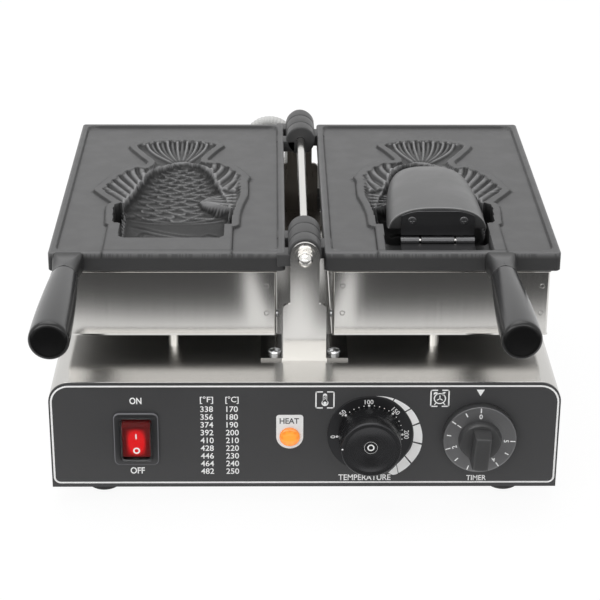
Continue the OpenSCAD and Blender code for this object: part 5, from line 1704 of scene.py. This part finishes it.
class CONE_OT_temperature(bpy.types.Operator):
    """Temperature dial with its numbers, and the knob with its dished face"""
    bl_idname = "cone.temperature"
    bl_label = "Temperature control"

    def execute(self, context):
        x, z = DIAL[0], DIAL[2]
        self.dial(x, z)
        self.numbers(x, z)
        reach = FACE_Y - low("temperature_knob")[1]
        self.knob(x, z, reach)
        mark = Print(reach - 3.45)
        mark.ring(x, z, 4.25, 5.15)
        mark.ring(x, z, 1.5, 2.4)
        mark.piece("knob_ring", "white_ink", "temperature_control", "label_white")
        dot = Print(reach + 0.04)
        dot.dot(x - 18.9, z + 0.6, 0.6)
        dot.piece("knob_pointer", "white_ink", "temperature_control", "label_white")
        return {"FINISHED"}

    def dial(self, x, z):
        """Dial: a flat ring with a broken edge."""
        radius = (high("temperature_dial")[0] - low("temperature_dial")[0]) / 2
        profile = [(0, radius - 0.05), (0.0, radius), (0.8, radius), (1.0, radius - 0.2)]
        profile += [(1.0, r) for r in np.linspace(radius - 1.5, 6.0, 14)] + [(0, 6)]
        Skin().sheet(from_panel(profile, x, z), wrap=True).make(
            "dial_ring", "dial_black", "base", "dial_black", stands_for=["temperature_dial"])

    def numbers(self, x, z):
        """Numbers with a large dot each, and four small dots from one to the next."""
        ink = Print(1.06)
        values, step, numbers_at, dots_at = (0, 50, 100, 150, 200), 45.75, 24.6, 21.9
        for number, value in enumerate(values):
            angle = 183.5 - step * number
            turn = math.radians(angle)
            ink.words(str(value), 3.1, *around(x, z, numbers_at, turn), turn - math.pi / 2, 0.01)
            ink.dot(*around(x, z, dots_at, turn), 0.85)
            if number == 0:
                continue
            for minor in range(1, 5 if number < 4 else 3):
                ink.dot(*around(x, z, dots_at, math.radians(angle - step * minor / 5)), 0.42, 10)
        ink.piece("dial_numbers", "white_ink", "base", "label_white")

    def knob(self, x, z, reach):
        """Knob: slightly tapered side, rounded edge, and a face dished as sqrt(R^2 - r^2) down to a flat."""
        base, face, sphere = 21.0, 19.8, 39.6
        profile = [(1.35, 6), (1.35, base - 0.4), (1.6, base), (reach * 0.5, (base + face) / 2 + 0.1),
                   (reach - 1.2, face + 0.1), (reach - 0.5, face - 0.08), (reach - 0.1, face - 0.5),
                   (reach, face - 1.0)]
        for r in np.linspace(face - 1.4, 0.04, 20):
            drop = math.sqrt(sphere ** 2 - r ** 2) - sphere * 0.9
            profile.append((reach - max(drop, 0) * 0.93, r))
        Skin().sheet(from_panel(profile, x, z), wrap=True, caps=True).make(
            "temperature_handle", "knob_face", "temperature_control", "knob_black",
            stands_for=["temperature_knob"])


class CONE_OT_timer(bpy.types.Operator):
    """Timer disc with its numbers, the hub and the grip bar"""
    bl_idname = "cone.timer"
    bl_label = "Timer control"

    def execute(self, context):
        x, z = TIMER[0], TIMER[2]
        profile = [(0.4, 8), (0.4, 24.3), (0.7, 24.5), (6.3, 24.5), (6.8, 24.3), (7, 23.9)]
        profile += [(7.0, r) for r in np.linspace(23, 14.6, 9)] + [(7, 8)]
        Skin().sheet(from_panel(profile, x, z), wrap=True).make(
            "timer_disc", "timer_grey", "timer_control", "dial_black", stands_for=["timer_knob"])
        hub = [(6.9, 0.05), (6.9, 14.5), (7.6, 14.5), (11.2, 13.35), (11.8, 13), (12, 12.5), (12, 6),
               (12, 0.05)]
        skin = Skin().sheet(from_panel(hub, x, z, 96), wrap=True, caps=True)
        skin.sheet(self.grip_bar(x, z), wrap=True, caps=True)
        skin.make("timer_handle", "timer_black", "timer_control", "knob_black", angle=30)
        self.numbers(x, z)
        return {"FINISHED"}

    def grip_bar(self, x, z):
        """Grip bar: sides drawn in with depth, its lower end on the hub's circle, its upper end bowed."""
        tilt, half_w = math.radians(3.6), 5.9
        rings = []
        for along, inset in ((6.5, -0.5), (9, 0), (14, 0.25), (20, 0.45), (23.4, 0.6), (24.3, 0.85),
                             (24.8, 1.4), (25, 2.2)):
            half = half_w - inset
            u = np.concatenate([np.linspace(half, -half, 13), np.linspace(-half, half, 13)])
            low_edge = -np.sqrt(np.clip(14.9 ** 2 - u[:13] ** 2, 0, None)) + inset
            high_edge = 10.9 - inset - 0.25 * (u[13:] / half) ** 2
            v = np.concatenate([low_edge, high_edge])
            rings.append(xyz(x + u * math.cos(tilt) + v * math.sin(tilt), FACE_Y - along,
                             z - u * math.sin(tilt) + v * math.cos(tilt)))
        return np.stack(rings)

    def numbers(self, x, z):
        """A long stroke and a number at each step, save the one that the bar hides, and strokes between."""
        ink = Print(7.06)
        steps, hidden = 6, 3
        for number in range(steps):
            turn = math.radians(90 + 53.5 * number)
            ink.bar(*around(x, z, 22.0, turn), 3.4, 0.75, turn)
            if number != hidden:
                ink.words(str(number), 3.2, *around(x, z, 17.6, turn), turn - math.pi / 2, 0.02)
            if number < steps - 1:
                turn = math.radians(90 + 53.5 * (number + 0.5))
                ink.bar(*around(x, z, 21.0, turn), 3.0, 0.8, turn)
        ink.piece("timer_numbers", "white_ink", "timer_control", "label_white")


class CONE_OT_stage(bpy.types.Operator):
    """Camera, lamps, world, the pale floor and the cards that only gloss sees"""
    bl_idname = "cone.stage"
    bl_label = "Stage"

    def execute(self, context):
        context.scene.view_settings.view_transform = "Standard"
        self.camera()
        self.world()
        self.lamp("overhead", (-0.3, 0.25, 2.2), (0, 0, 0.1), 2.4, 30)
        self.lamp("front_left", (-1.8, -2.2, 1.6), (0, 0, 0.1), 1.6, 16)
        self.floor()
        self.cards()
        self.soft_box()
        return {"FINISHED"}

    def camera(self):
        """Camera at VIEW_PLACE that looks along VIEW_WAY, turned by VIEW_ROLL about that line."""
        data = bpy.data.cameras.new("view")
        data.lens = VIEW_LENS
        data.sensor_width = 36
        data.sensor_fit = "HORIZONTAL"
        data.clip_end = 50
        forward = Vector(VIEW_WAY).normalized()
        yaw = math.atan2(forward.x, forward.y)
        across = Vector((math.cos(yaw), -math.sin(yaw), 0))
        up = across.cross(forward)
        roll = math.radians(VIEW_ROLL)
        right = across * math.cos(roll) + up * math.sin(roll)
        top = up * math.cos(roll) - across * math.sin(roll)
        place = Matrix((right, top, -forward)).transposed().to_4x4()
        place.translation = Vector(VIEW_PLACE)
        item = link("view", data)
        item.matrix_world = place
        bpy.context.scene.camera = item

    def seen(self, tree):
        """1 for rays of the camera, of gloss and through glass; and 1 for rays of gloss alone."""
        path = tree.nodes.new("ShaderNodeLightPath").outputs
        looks = math_node(tree, "MAXIMUM", path["Is Camera Ray"], path["Is Glossy Ray"])
        return math_node(tree, "MAXIMUM", looks, path["Is Transmission Ray"]), path["Is Glossy Ray"]

    def world(self):
        """White where the camera, gloss or glass looks; soft and weaker where it only lights."""
        world = bpy.data.worlds.new("studio")
        world.use_nodes = True
        bpy.context.scene.world = world
        tree = world.node_tree
        tree.nodes.clear()
        seen, glossy = self.seen(tree)
        strength = ramp_node(tree, seen, 0.0, 1.0, 0.55, 1.0)
        way = split_node(tree, tree.nodes.new("ShaderNodeTexCoord").outputs["Generated"])
        above = ramp_node(tree, way["Z"], 0.05, 0.3, 0.0, 0.9)
        room = ramp_node(tree, math_node(tree, "ADD", way["Y"], above), -0.75, -0.35, 0.1, 1.0)
        gloss = ramp_node(tree, glossy, 0.0, 1.0, 1.0, room)
        light = tree.nodes.new("ShaderNodeBackground")
        light.inputs["Color"].default_value = (1, 1, 1, 1)
        tree.links.new(math_node(tree, "MULTIPLY", strength, gloss), light.inputs["Strength"])
        leave = tree.nodes.new("ShaderNodeOutputWorld")
        tree.links.new(light.outputs[0], leave.inputs["Surface"])

    def lamp(self, name, place, target, size, power):
        """Square area lamp that looks at target."""
        data = bpy.data.lights.new(name, "AREA")
        data.shape = "SQUARE"
        data.size = size
        data.energy = power
        item = link(name, data)
        item.location = place
        item.rotation_euler = (Vector(target) - Vector(place)).to_track_quat("-Z", "Y").to_euler()

    def floor(self):
        """Pale floor that keeps a faint shadow: mostly light where it is seen, a plain surface elsewhere."""
        material = bpy.data.materials.new("studio_floor")
        material.use_nodes = True
        tree = material.node_tree
        shader = tree.nodes["Principled BSDF"]
        shader.inputs["Base Color"].default_value = (0.9, 0.9, 0.9, 1)
        shader.inputs["Roughness"].default_value = 0.9
        share = math_node(tree, "MULTIPLY", self.seen(tree)[0], 0.9)
        glow = tree.nodes.new("ShaderNodeEmission")
        glow.inputs["Strength"].default_value = 1.03
        mix = tree.nodes.new("ShaderNodeMixShader")
        tree.links.new(share, mix.inputs["Fac"])
        tree.links.new(shader.outputs[0], mix.inputs[1])
        tree.links.new(glow.outputs[0], mix.inputs[2])
        tree.links.new(mix.outputs[0], tree.nodes["Material Output"].inputs["Surface"])
        self.sheet("floor", material, (-6, 6, -3, 9), -0.0002)

    def glowing(self, name):
        """Material that only shines: itself, its nodes, and the socket of its strength."""
        material = bpy.data.materials.new(name)
        material.use_nodes = True
        tree = material.node_tree
        tree.nodes.clear()
        glow = tree.nodes.new("ShaderNodeEmission")
        tree.links.new(glow.outputs[0], tree.nodes.new("ShaderNodeOutputMaterial").inputs["Surface"])
        return material, tree, glow.inputs["Strength"]

    def cards(self):
        """Grey card on the floor before the base, only for gloss: dark, and brighter near and far.

        Its strength is min(fade^4.2 + 0.07 + far, near), where all three are ramps of the distance to the
        front and fade starts earlier in a narrow strip along the middle.
        """
        card, tree, strength = self.glowing("grey_card")
        way = split_node(tree, tree.nodes.new("ShaderNodeTexCoord").outputs["Object"])
        strip = ramp_node(tree, math_node(tree, "ABSOLUTE", way["X"]), 0.006, 0.014, 0.1, 0.0)
        fade = ramp_node(tree, math_node(tree, "ADD", way["Y"], strip), -0.43, -0.335)
        near = ramp_node(tree, way["Y"], -0.325, -0.305, 1.25, 0.3)
        far = ramp_node(tree, way["Y"], -0.62, -0.82, 0.0, 0.42)
        steep = math_node(tree, "ADD", math_node(tree, "POWER", fade, 4.2), 0.07)
        steep = math_node(tree, "ADD", steep, far)
        tree.links.new(math_node(tree, "MINIMUM", steep, near), strength)
        self.only_gloss(self.sheet("card", card, (-3, 3, -5, -0.31), 0.0006))
        self.only_gloss(self.sheet("near_card", card, (-0.2, 0.2, -0.31, -0.2), 0.0006))

    def soft_box(self):
        """Bright panel before and above the object, only for gloss."""
        material, _, strength = self.glowing("soft_box")
        strength.default_value = 2.3
        made = self.sheet("soft_box", material, (-1.6, 1.6, -0.7, 0.7), 0)
        made.location = (0, -2.3, 1.15)
        made.rotation_euler = (math.radians(-66), 0, 0)
        self.only_gloss(made)

    def only_gloss(self, made):
        """Hide a card from everything but reflections."""
        made.visible_camera = False
        made.visible_diffuse = False
        made.visible_shadow = False
        made.visible_transmission = False

    def sheet(self, name, material, extent, level):
        """Level rectangle of the stage."""
        x0, x1, y0, y1 = extent
        mesh = bpy.data.meshes.new(name)
        corners = [(x0, y0, level), (x1, y0, level), (x1, y1, level), (x0, y1, level)]
        mesh.from_pydata(corners, [], [(0, 1, 2, 3)])
        made = new_object(name, mesh, material)
        return made


OPERATORS = [CONE_OT_stage, CONE_OT_finishes, CONE_OT_plates, CONE_OT_core, CONE_OT_pans, CONE_OT_base,
             CONE_OT_grips, CONE_OT_hoses, CONE_OT_switch, CONE_OT_lamp, CONE_OT_panel_print,
             CONE_OT_temperature, CONE_OT_timer]


class CONE_PT_maker(bpy.types.Panel):
    """Lists the pieces of the cone maker"""
    bl_idname = "CONE_PT_maker"
    bl_label = "Cone maker"
    bl_space_type = "VIEW_3D"
    bl_region_type = "UI"
    bl_category = "Cone maker"

    def draw(self, context):
        for item in OPERATORS:
            self.layout.operator(item.bl_idname)
        for group in (context.scene.cone_mould, context.scene.cone_panel, context.scene.cone_colours):
            for key in group.bl_rna.properties.keys():
                if key not in ("rna_type", "name"):
                    self.layout.prop(group, key)


CLASSES = [MouldSizes, PanelSizes, Colours, *OPERATORS, CONE_PT_maker]


def register():
    """Adds the classes and the settings of a scene."""
    for item in CLASSES:
        bpy.utils.register_class(item)
    bpy.types.Scene.cone_mould = PointerProperty(type=MouldSizes)
    bpy.types.Scene.cone_panel = PointerProperty(type=PanelSizes)
    bpy.types.Scene.cone_colours = PointerProperty(type=Colours)


def unregister():
    """Takes them away again."""
    del bpy.types.Scene.cone_colours
    del bpy.types.Scene.cone_panel
    del bpy.types.Scene.cone_mould
    for item in reversed(CLASSES):
        bpy.utils.unregister_class(item)


def main():
    """Builds everything."""
    register()
    for item in OPERATORS:
        group, name = item.bl_idname.split(".")
        getattr(getattr(bpy.ops, group), name)()


if __name__ == "__main__":
    main()
